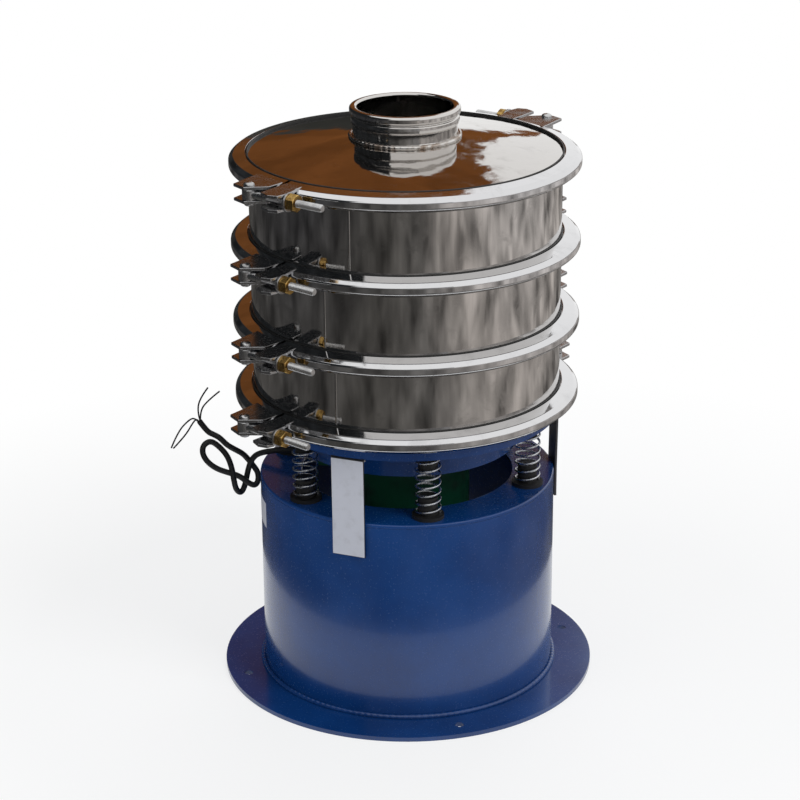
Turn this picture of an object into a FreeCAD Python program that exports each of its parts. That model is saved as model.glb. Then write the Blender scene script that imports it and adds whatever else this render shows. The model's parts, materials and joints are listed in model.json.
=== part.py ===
"""Rotary vibrating sieve of the 400 mm class: three frames and two screen decks on a sprung chassis.

Millimetres, +Z up. The origin is on the floor, at the centre of the base's underside.
Azimuths are degrees from the front (-Y), positive towards the right (+X).
Each sub-part is made at the front, where "across" is +X and "out" is -Y, and is then turned to its azimuth.
"""

import math
import os

import FreeCAD
import Part

# ---- base -------------------------------------------------------------------------------------
FLANGE_RADIUS = 255.0
FLANGE_THICKNESS = 6.0
FLANGE_BORE_RADIUS = 172.0
FLOOR_BOLT_CIRCLE = 460.0
FLOOR_BOLT_HOLE = 12.0
FLOOR_BOLTS = 4
FLOOR_BOLT_AZIMUTH = 17.0
DRUM_RADIUS = 200.0
DRUM_WALL = 4.0
DRUM_TOP = 284.5
TOP_PLATE_THICKNESS = 5.0
TOP_PLATE_BORE_RADIUS = 143.0
TOP_EDGE_RADIUS = 3.0
FOOT_WELD = 6.0

# ---- suspension -------------------------------------------------------------------------------
SUSPENSION_HEIGHT = 91.5
SPRINGS = 6
SPRING_CIRCLE_RADIUS = 172.5
SPRING_AZIMUTH = 9.0
SPRING_OUTER_RADIUS = 17.5
SPRING_WIRE = 3.0
SPRING_TURNS = 6.2
SEAT_RADIUS = 21.0
SEAT_THICKNESS = 5.0
SEAT_POST_RADIUS = 13.0
LOWER_POST_HEIGHT = 24.5
UPPER_POST_HEIGHT = 19.0
SEAT_CLEARANCE = 0.3

# ---- chassis ----------------------------------------------------------------------------------
CHASSIS_PLATE_THICKNESS = 6.0
CHASSIS_RIM_WALL = 6.0
CHASSIS_RIM_HEIGHT = 21.5
SKIRT_RADIUS = 150.5
SKIRT_WALL = 4.0
SKIRT_DEPTH = 43.5

# ---- frames, lid and decks --------------------------------------------------------------------
SHELL_RADIUS = 205.2
SHELL_WALL = 2.0
LOWER_PITCH = 102.0
MIDDLE_PITCH = 106.0
UPPER_PITCH = 108.0
RIM_RADIUS = 222.0
RIM_EDGE = 3.7
GASKET_THICKNESS = 6.0
GASKET_BORE_RADIUS = 199.0
SEAL_CORD_WIDTH = 2.4
SEAL_CORD_RISE = 2.5
DECK_RING_BORE_RADIUS = 190.0
DECK_RING_THICKNESS = 2.0
DECK_RING_MARGIN = 2.0
MESH_THICKNESS = 0.6
MESH_RADIUS = 202.5
DOME_EDGE_HEIGHT = 20.0
DOME_RISE = 42.0
DOME_SHEET = 2.0
LID_SHEET = 2.0
LID_RISE = 19.5

# ---- feed collar ------------------------------------------------------------------------------
FEED_RADIUS = 62.5
COLLAR_RADIUS = 68.5
COLLAR_HEIGHT = 41.0
BEAD_RADIUS = 72.4
BEAD_HEIGHT = 10.0
BEAD_GROOVE = 3.0
COLLAR_WELD = 5.0

# ---- clamp rings ------------------------------------------------------------------------------
BAND_RADIUS = 230.0
BAND_BORE_RADIUS = 208.0
BAND_SHEET = 2.5
BAND_HEIGHT = 25.0
BAND_SHOULDER_RADIUS = 224.0
BAND_SHOULDER_HEIGHT = 18.4
BAND_RIM_HEIGHT = 8.0
BAND_CLEARANCE = 0.4
BAND_SPLIT_ACROSS = -29.5
BAND_SPLIT_GAP = 5.0
CLOSURE_AZIMUTHS = (-42.0, -40.0, -39.0, -36.0)

# ---- closures ---------------------------------------------------------------------------------
CLOSURE_RADIUS = 249.0
PIN_ACROSS = -58.0
PIN_DIAMETER = 8.0
PIN_HEAD_RADIUS = 7.0
PIN_HEAD_HEIGHT = 4.5
LUG_GAP = 14.0
LUG_THICKNESS = 4.0
LUG_ROOT_RADIUS = 216.0
SEAT_REACH = 61.7
EYE_RADIUS = 9.0
EYE_CLEARANCE = 0.3
RUNNING_CLEARANCE = 0.05
BOLT_DIAMETER = 10.0
BOLT_REACH = 115.0
BOLT_CHAMFER = 1.2
WASHER_RADIUS = 12.5
WASHER_THICKNESS = 2.5
WASHER_CLEARANCE = 0.5
NUT_ACROSS_FLATS = 20.0
NUT_THICKNESS = 12.0

# ---- discharge spouts -------------------------------------------------------------------------
SPOUT_AZIMUTHS = (172.0, 193.0, 214.0)
SPOUT_WIDTH = 76.0
SPOUT_HEIGHT = 46.0
SPOUT_WALL = 1.5
SPOUT_CORNER = 12.0
SPOUT_SLOPE = 22.0
SPOUT_LENGTH = 92.0
SPOUT_SILL = 26.0
SPOUT_LIP = 6.0
SPOUT_LIP_THICKNESS = 3.0

# ---- vibration motor --------------------------------------------------------------------------
MOTOR_RADIUS = 85.0
MOTOR_WALL = 9.0
MOTOR_DEPTH = 140.0
MOTOR_FLANGE_RADIUS = 115.0
MOTOR_FLANGE_THICKNESS = 10.0
MOTOR_BOLTS = 8
MOTOR_BOLT_CIRCLE = 204.0
MOTOR_BOLT_DIAMETER = 10.0
MOTOR_BOLT_HEAD_FLATS = 16.0
MOTOR_BOLT_HEAD_HEIGHT = 6.5
MOTOR_BOLT_STANDOUT = 14.0
SPIGOT_RADIUS = 70.0
SPIGOT_CLEARANCE = 0.3
COVER_THICKNESS = 10.0
BEARING_RADIUS = 31.0
BEARING_THICKNESS = 14.0
BEARING_WALL = 6.0
SHAFT_RADIUS = 14.0
STATOR_LENGTH = 70.0
STATOR_BORE_RADIUS = 48.0
AIR_GAP = 0.5
WEIGHT_RADIUS = 92.0
WEIGHT_HUB_RADIUS = 27.0
WEIGHT_THICKNESS = 17.0
WEIGHT_SPREAD = 75.0
WEIGHT_GAP = 3.0
BOX_AZIMUTH = -97.0
BOX_WIDTH = 62.0
BOX_HEIGHT = 44.0
BOX_REACH = 118.0
BOX_LID_THICKNESS = 3.0
BOX_TOP_DROP = 38.0
GLAND_RADIUS = 8.0
GLAND_TIP_RADIUS = 6.0
GLAND_NUT_LENGTH = 6.0
GLAND_LENGTH = 15.0
GLAND_RISE = 10.0

# ---- motor cable: knotted beside the drum, its four cores left bare ----------------------------
CABLE_RADIUS = 4.0
CORE_RADIUS = 1.1
CORE_SPACING = 1.6
CORE_CLEARANCE = 0.9
CABLE_ROUTE = [(-158, 19.4, 303), (-184, 25, 299), (-205, 30, 293), (-213, 30, 283)]
BUNDLE_DEPTH = (17.0, 43.0)
BUNDLE_MOUTH = 6.0
BUNDLE_RIGHT = [(-200, 270), (-200, 246), (-207, 240), (-219, 237), (-224, 230), (-231, 227.5), (-239, 234),
                (-243.5, 258), (-263, 266.5), (-279, 280), (-285.5, 296), (-284, 311)]
BUNDLE_TOP = [(-258, 327.5), (-246, 318), (-226, 301)]
SHEATH_END = [(-274, 30, 325.6), (-284, 30, 341)]
CORE_ROUTES = [
    [(-286, 28.4, 354), (-283, 28, 374), (-270.5, 27, 391)],
    [(-282.5, 31.6, 355), (-273.3, 32, 369), (-255.2, 33, 383.4)],
    [(-290, 28.4, 347), (-299, 28, 343), (-314, 28, 326), (-324, 29, 302)],
    [(-287.5, 31.6, 344), (-293, 32, 338.5), (-304, 32, 319), (-321.3, 31, 300.6)],
]

# ---- transport straps -------------------------------------------------------------------------
STRAPS = 3
STRAP_AZIMUTH = -22.0
STRAP_WIDTH = 45.0
STRAP_THICKNESS = 3.0
STRAP_OVERLAP = 46.5
STRAP_CLEARANCE = 0.8
STRAP_TAB = 24.0
STRAP_BOLT_SETBACK = 14.0
STRAP_BOLT_SPACING = 24.0
STRAP_BOLT_DIAMETER = 8.0
STRAP_BOLT_HEAD_FLATS = 13.0
STRAP_BOLT_HEAD_HEIGHT = 5.3
BOLT_HOLE_CLEARANCE = 0.5

# ---- derived heights --------------------------------------------------------------------------
CHASSIS_UNDERSIDE = DRUM_TOP + SUSPENSION_HEIGHT
CHASSIS_TOP = CHASSIS_UNDERSIDE + CHASSIS_PLATE_THICKNESS
RING_4 = CHASSIS_TOP + CHASSIS_RIM_HEIGHT
RING_3 = RING_4 + LOWER_PITCH
RING_2 = RING_3 + MIDDLE_PITCH
RING_1 = RING_2 + UPPER_PITCH
RING_HEIGHTS = {"4": RING_4, "3": RING_3, "2": RING_2, "1": RING_1}

HALF_GASKET = GASKET_THICKNESS / 2
SHELL_BORE = SHELL_RADIUS - SHELL_WALL
BAND_SLOPE = (BAND_HEIGHT - BAND_SHOULDER_HEIGHT) / 2 / (BAND_SHOULDER_RADIUS - BAND_BORE_RADIUS)
PIN_TO_SEAT = SEAT_REACH + EYE_CLEARANCE

ORIGIN = FreeCAD.Vector(0, 0, 0)
UP = FreeCAD.Vector(0, 0, 1)
OUT = FreeCAD.Vector(0, -1, 0)
ACROSS = FreeCAD.Vector(1, 0, 0)


# ---- building blocks --------------------------------------------------------------------------
def front(radius, z, across=0.0):
    """A point this far in front of the axis."""
    return FreeCAD.Vector(across, -radius, z)


def turned(shape, azimuth):
    """A copy of a shape made at the front, turned about the axis."""
    copy = shape.copy()
    copy.rotate(ORIGIN, UP, azimuth)
    return copy


def moved(shape, offset):
    copy = shape.copy()
    copy.translate(offset)
    return copy


def wire_through(corners, place):
    """Closed wire; a corner of four numbers is reached by an arc through its last two."""
    edges = []
    last = corners[-1]
    for corner in corners:
        start, end = place(*last[:2]), place(*corner[:2])
        if len(corner) == 4:
            edges.append(Part.Arc(start, place(*corner[2:]), end).toShape())
        else:
            edges.append(Part.LineSegment(start, end).toShape())
        last = corner
    return Part.Wire(edges)


def revolved(corners, sweep=360.0, azimuth=0.0):
    """Solid of revolution about Z from (radius, z) corners."""
    face = Part.Face(wire_through(corners, front))
    return turned(face.revolve(ORIGIN, UP, sweep), azimuth)


def ring(inner, outer, low, high):
    return revolved([(inner, low), (outer, low), (outer, high), (inner, high)])


def plate(corners, low, high):
    """Flat plate from (across, out) corners."""
    outline = wire_through(corners, lambda across, out: front(out, low, across))
    return Part.Face(outline).extrude(UP * (high - low))


def rod(radius, low, high, across=0.0, out=0.0):
    return Part.makeCylinder(radius, high - low, front(out, low, across), UP)


def hexagon(flats, height, base, direction):
    """Hexagonal prism that stands on base along direction, with two flats square to the vertical."""
    corner = flats / math.sqrt(3)
    side = UP.cross(direction)
    if side.Length < 0.5:
        side = ACROSS
    third = direction.cross(side)
    points = []
    for step in range(7):
        angle = math.radians(60 * step)
        points.append(base + side * (corner * math.cos(angle)) + third * (corner * math.sin(angle)))
    return Part.Face(Part.makePolygon(points)).extrude(direction * height)


def around(shape, count, azimuth):
    return [turned(shape, azimuth + 360.0 * step / count) for step in range(count)]


def drilled(solid, tools):
    return solid.cut(tools) if tools else solid


def solids_of(shape):
    return [shape] if shape.ShapeType == "Solid" else shape.Solids


def keep(node, *shapes):
    """Write the node's solids as one STEP file."""
    solids = [solid for shape in shapes for solid in solids_of(shape)]
    for solid in solids:
        if not solid.isValid() or solid.Volume <= 0:
            raise ValueError(node + " is not a sound solid")
    body = solids[0] if len(solids) == 1 else Part.makeCompound(solids)
    body.exportStep("parts/" + node + ".step")


# ---- base -------------------------------------------------------------------------------------
def base_flange():
    hole = rod(FLOOR_BOLT_HOLE / 2, 0, FLANGE_THICKNESS, out=FLOOR_BOLT_CIRCLE / 2)
    flange = ring(FLANGE_BORE_RADIUS, FLANGE_RADIUS, 0, FLANGE_THICKNESS)
    return drilled(flange, around(hole, FLOOR_BOLTS, FLOOR_BOLT_AZIMUTH))


def base_drum():
    """Rolled wall with the fillet weld at its foot."""
    foot, top = FLANGE_THICKNESS, DRUM_TOP - TOP_PLATE_THICKNESS
    return revolved([
        (DRUM_RADIUS - DRUM_WALL, foot),
        (DRUM_RADIUS + FOOT_WELD, foot),
        (DRUM_RADIUS, foot + FOOT_WELD),
        (DRUM_RADIUS, top),
        (DRUM_RADIUS - DRUM_WALL, top),
    ])


def base_top_plate():
    """Annular plate with a rounded outer edge, which the springs stand on."""
    low, high = DRUM_TOP - TOP_PLATE_THICKNESS, DRUM_TOP
    knuckle = TOP_EDGE_RADIUS * (1 - math.sqrt(0.5))
    return revolved([
        (TOP_PLATE_BORE_RADIUS, low),
        (DRUM_RADIUS, low),
        (DRUM_RADIUS, high - TOP_EDGE_RADIUS),
        (DRUM_RADIUS - TOP_EDGE_RADIUS, high, DRUM_RADIUS - knuckle, high - knuckle),
        (TOP_PLATE_BORE_RADIUS, high),
    ])


# ---- suspension -------------------------------------------------------------------------------
def lower_spring_seats():
    seat = rod(SEAT_RADIUS, DRUM_TOP, DRUM_TOP + SEAT_THICKNESS, out=SPRING_CIRCLE_RADIUS)
    top = DRUM_TOP + SEAT_THICKNESS + LOWER_POST_HEIGHT
    post = rod(SEAT_POST_RADIUS, DRUM_TOP, top, out=SPRING_CIRCLE_RADIUS)
    return around(seat.fuse(post).removeSplitter(), SPRINGS, SPRING_AZIMUTH)


def upper_spring_seats():
    low = CHASSIS_UNDERSIDE - SEAT_THICKNESS
    seat = rod(SEAT_RADIUS, low, CHASSIS_UNDERSIDE, out=SPRING_CIRCLE_RADIUS)
    post = rod(SEAT_POST_RADIUS, low - UPPER_POST_HEIGHT, CHASSIS_UNDERSIDE, out=SPRING_CIRCLE_RADIUS)
    return around(seat.fuse(post).removeSplitter(), SPRINGS, SPRING_AZIMUTH)


def springs():
    """Right-handed coil springs; the wire's section is a square of the wire's width."""
    low = DRUM_TOP + SEAT_THICKNESS + SEAT_CLEARANCE
    high = CHASSIS_UNDERSIDE - SEAT_THICKNESS - SEAT_CLEARANCE
    half = SPRING_WIRE / 2
    mean = SPRING_OUTER_RADIUS - half
    climb = high - low - SPRING_WIRE
    helix = Part.makeHelix(climb / SPRING_TURNS, climb, mean)
    corners = [(mean - half, -half), (mean + half, -half), (mean + half, half), (mean - half, half)]
    section = wire_through(corners, lambda across, z: FreeCAD.Vector(across, 0, z))
    coil = Part.Wire(helix.Edges).makePipeShell([section], True, True)
    coil = moved(coil, front(SPRING_CIRCLE_RADIUS, low + half))
    return around(coil, SPRINGS, SPRING_AZIMUTH)


# ---- chassis ----------------------------------------------------------------------------------
def motor_bolt_holes(low, high):
    hole = rod(MOTOR_BOLT_DIAMETER / 2 + BOLT_HOLE_CLEARANCE, low, high, out=MOTOR_BOLT_CIRCLE / 2)
    return around(hole, MOTOR_BOLTS, 180.0 / MOTOR_BOLTS)


def strap_bolt_holes(low, high):
    out = SHELL_RADIUS - STRAP_BOLT_SETBACK
    radius = STRAP_BOLT_DIAMETER / 2 + BOLT_HOLE_CLEARANCE
    pair = [rod(radius, low, high, side * STRAP_BOLT_SPACING / 2, out) for side in (-1, 1)]
    return [hole for one in pair for hole in around(one, STRAPS, STRAP_AZIMUTH)]


def chassis_skirt():
    return ring(SKIRT_RADIUS - SKIRT_WALL, SKIRT_RADIUS, CHASSIS_UNDERSIDE - SKIRT_DEPTH, CHASSIS_UNDERSIDE)


def rim_height(radius):
    """Height above a joint's mid-plane of the conical face that the clamp ring draws on."""
    inside = BAND_HEIGHT / 2 - BAND_SHEET - BAND_CLEARANCE
    return inside - BAND_SLOPE * (radius - BAND_BORE_RADIUS)


def chassis_pan():
    """Round plate whose short wall ends in the conical rim that the lowest clamp ring holds."""
    bore = SHELL_RADIUS - CHASSIS_RIM_WALL
    pan = revolved([
        (SPIGOT_RADIUS, CHASSIS_TOP),
        (SPIGOT_RADIUS, CHASSIS_UNDERSIDE),
        (SHELL_RADIUS, CHASSIS_UNDERSIDE),
        (SHELL_RADIUS, RING_4 - rim_height(SHELL_RADIUS)),
        (RIM_RADIUS, RING_4 - rim_height(RIM_RADIUS)),
        (RIM_RADIUS, RING_4 - HALF_GASKET),
        (bore, RING_4 - HALF_GASKET),
        (bore, CHASSIS_TOP),
    ])
    holes = motor_bolt_holes(CHASSIS_UNDERSIDE, CHASSIS_TOP) + strap_bolt_holes(CHASSIS_UNDERSIDE, CHASSIS_TOP)
    return drilled(pan, holes)


# ---- frames, dome, decks and lid --------------------------------------------------------------
def rounded_rectangle(width, height, corner, centre, rise):
    """Face across the outward direction, its height along rise."""
    half_w, half_h = width / 2, height / 2
    near = corner * (1 - math.sqrt(0.5))
    corners = []
    for x_sign, z_sign in ((1, 1), (-1, 1), (-1, -1), (1, -1)):
        side = (x_sign * half_w, z_sign * (half_h - corner))
        cap = (x_sign * (half_w - corner), z_sign * half_h)
        bend = (x_sign * (half_w - near), z_sign * (half_h - near))
        first, second = (side, cap) if x_sign == z_sign else (cap, side)
        corners += [first, second + bend]
    return Part.Face(wire_through(corners, lambda across, height: centre + ACROSS * across + rise * height))


def spout_duct(ring_below, margin, start, end):
    """Sloping duct between two distances along its own centre line from the frame's wall."""
    slope = math.radians(SPOUT_SLOPE)
    forward = FreeCAD.Vector(0, -math.cos(slope), -math.sin(slope))
    rise = FreeCAD.Vector(0, -math.sin(slope), math.cos(slope))
    wall = front(SHELL_RADIUS, ring_below + SPOUT_SILL + SPOUT_HEIGHT / 2)
    width, height = SPOUT_WIDTH + 2 * margin, SPOUT_HEIGHT + 2 * margin
    face = rounded_rectangle(width, height, SPOUT_CORNER + margin, wall + forward * start, rise)
    return face.extrude(forward * (end - start))


def discharge_spout(ring_below, azimuth):
    """Sloping outlet welded to the frame's wall, with a lip for its sleeve."""
    duct = spout_duct(ring_below, 0, -SPOUT_WIDTH / 2, SPOUT_LENGTH)
    lip = spout_duct(ring_below, SPOUT_LIP, SPOUT_LENGTH - SPOUT_LIP_THICKNESS, SPOUT_LENGTH)
    shell = rod(SHELL_RADIUS, ring_below, ring_below + UPPER_PITCH)
    passage = spout_duct(ring_below, -SPOUT_WALL, -SPOUT_WIDTH, SPOUT_LENGTH + SPOUT_WALL)
    return turned(duct.fuse(lip).removeSplitter().cut([shell, passage]), azimuth)


def sieve_frame(ring_below, ring_above, spout_azimuth):
    """Polished wall with a conical rim at each end and a window for its spout."""
    wall = revolved([
        (SHELL_BORE, ring_below + HALF_GASKET),
        (RIM_RADIUS, ring_below + HALF_GASKET),
        (RIM_RADIUS, ring_below + rim_height(RIM_RADIUS)),
        (SHELL_RADIUS, ring_below + rim_height(SHELL_RADIUS)),
        (SHELL_RADIUS, ring_above - rim_height(SHELL_RADIUS)),
        (RIM_RADIUS, ring_above - rim_height(RIM_RADIUS)),
        (RIM_RADIUS, ring_above - HALF_GASKET),
        (SHELL_BORE, ring_above - HALF_GASKET),
    ])
    window = spout_duct(ring_below, -SPOUT_WALL, -SPOUT_WIDTH / 2, SPOUT_WIDTH / 2)
    return wall.cut(turned(window, spout_azimuth))


def bottom_dome():
    """Conical floor of the lower frame, which sheds the fines to the wall."""
    edge = RING_4 + DOME_EDGE_HEIGHT
    return revolved([
        (0, edge + DOME_RISE - DOME_SHEET),
        (SHELL_BORE, edge - DOME_SHEET),
        (SHELL_BORE, edge),
        (0, edge + DOME_RISE),
    ])


def gasket(ring_height, holds_deck):
    """Flat seal, grooved where it grips a deck, and the seal cord in the joint above it."""
    low, high = ring_height - HALF_GASKET, ring_height + HALF_GASKET
    seal = ring(GASKET_BORE_RADIUS, RIM_RADIUS, low, high)
    if holds_deck:
        half = DECK_RING_THICKNESS / 2
        groove = ring(0, RIM_RADIUS - DECK_RING_MARGIN, ring_height - half, ring_height + half + MESH_THICKNESS)
        seal = seal.cut(groove)
    cord_outer = SHELL_RADIUS + SEAL_CORD_WIDTH
    cord_top = ring_height + BAND_HEIGHT / 2 + SEAL_CORD_RISE
    cord = revolved([
        (SHELL_RADIUS, ring_height + rim_height(SHELL_RADIUS)),
        (cord_outer, ring_height + rim_height(cord_outer)),
        (cord_outer, cord_top),
        (SHELL_RADIUS, cord_top),
    ])
    return [seal, cord]


def deck_ring(ring_height):
    half = DECK_RING_THICKNESS / 2
    outer = RIM_RADIUS - DECK_RING_MARGIN
    return ring(DECK_RING_BORE_RADIUS, outer, ring_height - half, ring_height + half)


def screen_mesh(ring_height):
    low = ring_height + DECK_RING_THICKNESS / 2
    return rod(RIM_RADIUS - DECK_RING_MARGIN, low, low + MESH_THICKNESS)


def lid_height(radius):
    """Height of the lid's upper face."""
    rim_top = RING_1 + rim_height(SHELL_RADIUS)
    return rim_top + LID_RISE * (SHELL_RADIUS - radius) / (SHELL_RADIUS - COLLAR_RADIUS)


def lid():
    return revolved([
        (FEED_RADIUS, lid_height(FEED_RADIUS) - LID_SHEET),
        (SHELL_BORE, lid_height(SHELL_BORE) - LID_SHEET),
        (SHELL_BORE, RING_1 + HALF_GASKET),
        (RIM_RADIUS, RING_1 + HALF_GASKET),
        (RIM_RADIUS, RING_1 + rim_height(RIM_RADIUS)),
        (SHELL_RADIUS, RING_1 + rim_height(SHELL_RADIUS)),
        (FEED_RADIUS, lid_height(FEED_RADIUS)),
    ])


def feed_collar():
    """Rolled neck with two beads and a groove between them, welded to the lid."""
    foot = lid_height(COLLAR_RADIUS)
    top = foot + COLLAR_HEIGHT
    first = top - BEAD_HEIGHT
    groove = first - BEAD_GROOVE
    second = groove - BEAD_HEIGHT
    return revolved([
        (FEED_RADIUS, lid_height(FEED_RADIUS)),
        (COLLAR_RADIUS + COLLAR_WELD, lid_height(COLLAR_RADIUS + COLLAR_WELD)),
        (COLLAR_RADIUS, foot + COLLAR_WELD),
        (COLLAR_RADIUS, second),
        (COLLAR_RADIUS, groove, (COLLAR_RADIUS + BEAD_RADIUS) / 2, (second + groove) / 2),
        (COLLAR_RADIUS, first),
        (COLLAR_RADIUS, top, BEAD_RADIUS, (first + top) / 2),
        (FEED_RADIUS, top),
    ])


# ---- clamp rings and closures -----------------------------------------------------------------
def band_outline(ring_height, inset):
    """The V of the band, brought in by inset on every face."""
    half = BAND_HEIGHT / 2 - inset
    shoulder = BAND_SHOULDER_HEIGHT / 2 - inset
    rim = BAND_RIM_HEIGHT / 2
    outer, knee = BAND_RADIUS - inset, BAND_SHOULDER_RADIUS - inset / 2
    upper = [(BAND_BORE_RADIUS, half), (knee, shoulder), (outer, rim)]
    return [(r, ring_height + z) for r, z in upper], [(r, ring_height - z) for r, z in reversed(upper)]


def band_sector(ring_height, azimuth):
    upper, lower = band_outline(ring_height, 0)
    inner_upper, inner_lower = band_outline(ring_height, BAND_SHEET)
    corners = upper + lower + inner_lower[::-1] + inner_upper[::-1]
    split = math.degrees(BAND_SPLIT_ACROSS / BAND_RADIUS)
    gap = math.degrees(BAND_SPLIT_GAP / BAND_RADIUS)
    return revolved(corners, 180.0 - gap, azimuth + split + gap / 2)


def band_cavity(ring_height):
    upper, lower = band_outline(ring_height, BAND_SHEET)
    return revolved([(0, upper[0][1])] + upper + lower + [(0, lower[-1][1])])


def lug_pair(corners, ring_height):
    """Two plates above and below the bolt."""
    low = ring_height + LUG_GAP / 2
    upper = plate(corners, low, low + LUG_THICKNESS)
    return [upper, moved(upper, UP * -(LUG_GAP + LUG_THICKNESS))]


def root(across):
    """A lug's corner inside the band's sheet."""
    return (across, math.sqrt(LUG_ROOT_RADIUS ** 2 - across ** 2))


def pin_lugs(ring_height):
    """Plates that hold the hinge pin of the swing bolt, with a pointed outer corner."""
    right = BAND_SPLIT_ACROSS - BAND_SPLIT_GAP / 2
    corners = [
        root(PIN_ACROSS - 26),
        (PIN_ACROSS - 22, CLOSURE_RADIUS + 4),
        (PIN_ACROSS, CLOSURE_RADIUS + 11),
        (right - 2, CLOSURE_RADIUS - 10),
        root(right),
    ]
    bore = rod(PIN_DIAMETER / 2, ring_height - BAND_HEIGHT, ring_height + BAND_HEIGHT, PIN_ACROSS, CLOSURE_RADIUS)
    return [lug.cut(bore) for lug in lug_pair(corners, ring_height)]


def seat_lugs(ring_height):
    """Plates that the washer bears on; their end is an arc about the hinge pin."""
    left = BAND_SPLIT_ACROSS + BAND_SPLIT_GAP / 2

    def on_arc(degrees):
        angle = math.radians(degrees)
        return (PIN_ACROSS + SEAT_REACH * math.cos(angle), CLOSURE_RADIUS + SEAT_REACH * math.sin(angle))

    corners = [
        root(left),
        (left, CLOSURE_RADIUS + 16),
        (PIN_ACROSS + 0.75 * SEAT_REACH, CLOSURE_RADIUS + 22),
        on_arc(17),
        on_arc(-20) + on_arc(0),
        root(on_arc(-20)[0]),
    ]
    return lug_pair(corners, ring_height)


def clamp_half(ring_height, azimuth):
    """Half of the band, with seat lugs at its first end and hinge lugs at its last."""
    lugs = [turned(lug, azimuth) for lug in seat_lugs(ring_height)]
    lugs += [turned(lug, azimuth + 180) for lug in pin_lugs(ring_height)]
    lugs = [lug.cut(band_cavity(ring_height)) for lug in lugs]
    return band_sector(ring_height, azimuth).fuse(lugs).removeSplitter()


def closure_pin(ring_height):
    half = LUG_GAP / 2 + LUG_THICKNESS
    pin = rod(PIN_DIAMETER / 2, ring_height - half, ring_height + half, PIN_ACROSS, CLOSURE_RADIUS)
    top = Part.makeCone(PIN_HEAD_RADIUS, PIN_DIAMETER / 2, PIN_HEAD_HEIGHT,
                        front(CLOSURE_RADIUS, ring_height + half, PIN_ACROSS), UP)
    foot = Part.makeCone(PIN_HEAD_RADIUS, PIN_DIAMETER / 2, PIN_HEAD_HEIGHT,
                         front(CLOSURE_RADIUS, ring_height - half, PIN_ACROSS), -UP)
    return pin.fuse([top, foot]).removeSplitter()


def swing_bolt(ring_height):
    """Eye bolt that turns about the hinge pin and drops between the seat lugs."""
    half = LUG_GAP / 2 - EYE_CLEARANCE
    eye = rod(EYE_RADIUS, ring_height - half, ring_height + half, PIN_ACROSS, CLOSURE_RADIUS)
    start = front(CLOSURE_RADIUS, ring_height, PIN_ACROSS)
    radius = BOLT_DIAMETER / 2
    shank = Part.makeCylinder(radius, BOLT_REACH - BOLT_CHAMFER, start, ACROSS)
    tip = Part.makeCone(radius, radius - BOLT_CHAMFER, BOLT_CHAMFER,
                        start + ACROSS * (BOLT_REACH - BOLT_CHAMFER), ACROSS)
    bore = rod(PIN_DIAMETER / 2 + RUNNING_CLEARANCE, ring_height - half, ring_height + half,
               PIN_ACROSS, CLOSURE_RADIUS)
    return eye.fuse([shank, tip]).removeSplitter().cut(bore)


def clamp_nut(ring_height):
    """Hexagon nut and its washer, tight against the seat lugs."""
    seat = front(CLOSURE_RADIUS, ring_height, PIN_ACROSS + PIN_TO_SEAT)
    washer = Part.makeCylinder(WASHER_RADIUS, WASHER_THICKNESS, seat, ACROSS)
    washer_hole = Part.makeCylinder(BOLT_DIAMETER / 2 + WASHER_CLEARANCE, WASHER_THICKNESS, seat, ACROSS)
    face = seat + ACROSS * WASHER_THICKNESS
    nut = hexagon(NUT_ACROSS_FLATS, NUT_THICKNESS, face, ACROSS)
    nut_hole = Part.makeCylinder(BOLT_DIAMETER / 2 + RUNNING_CLEARANCE, NUT_THICKNESS, face, ACROSS)
    return [washer.cut(washer_hole), nut.cut(nut_hole)]


# ---- vibration motor --------------------------------------------------------------------------
BARREL_TOP = CHASSIS_UNDERSIDE
BARREL_FOOT = CHASSIS_UNDERSIDE - MOTOR_DEPTH
MOTOR_BORE = MOTOR_RADIUS - MOTOR_WALL
UPPER_COVER_TOP = CHASSIS_TOP
LOWER_COVER_FOOT = BARREL_FOOT - COVER_THICKNESS
UPPER_BEARING = UPPER_COVER_TOP - COVER_THICKNESS - BEARING_THICKNESS
LOWER_BEARING = BARREL_FOOT
STATOR_FOOT = (BARREL_TOP + BARREL_FOOT - STATOR_LENGTH) / 2
UPPER_WEIGHT_FOOT = UPPER_COVER_TOP + WEIGHT_GAP
LOWER_WEIGHT_TOP = LOWER_COVER_FOOT - WEIGHT_GAP
SHAFT_TOP = UPPER_WEIGHT_FOOT + WEIGHT_THICKNESS
SHAFT_FOOT = LOWER_WEIGHT_TOP - WEIGHT_THICKNESS


def motor_housing():
    """Barrel with the flange that bolts up under the chassis plate."""
    flange_foot = BARREL_TOP - MOTOR_FLANGE_THICKNESS
    barrel = revolved([
        (MOTOR_BORE, BARREL_FOOT),
        (MOTOR_RADIUS, BARREL_FOOT),
        (MOTOR_RADIUS, flange_foot),
        (MOTOR_FLANGE_RADIUS, flange_foot),
        (MOTOR_FLANGE_RADIUS, BARREL_TOP),
        (MOTOR_BORE, BARREL_TOP),
    ])
    return drilled(barrel, motor_bolt_holes(flange_foot, BARREL_TOP))


def motor_upper_cover():
    """End plate spigoted into the chassis, with the boss that holds the upper bearing."""
    low = UPPER_COVER_TOP - COVER_THICKNESS
    outer = SPIGOT_RADIUS - SPIGOT_CLEARANCE
    disc = ring(SHAFT_RADIUS + WEIGHT_GAP, outer, BARREL_TOP, UPPER_COVER_TOP)
    plug = ring(SHAFT_RADIUS + WEIGHT_GAP, MOTOR_BORE, low, BARREL_TOP)
    boss = ring(BEARING_RADIUS, BEARING_RADIUS + BEARING_WALL, UPPER_BEARING, low)
    return disc.fuse([plug, boss]).removeSplitter()


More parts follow.
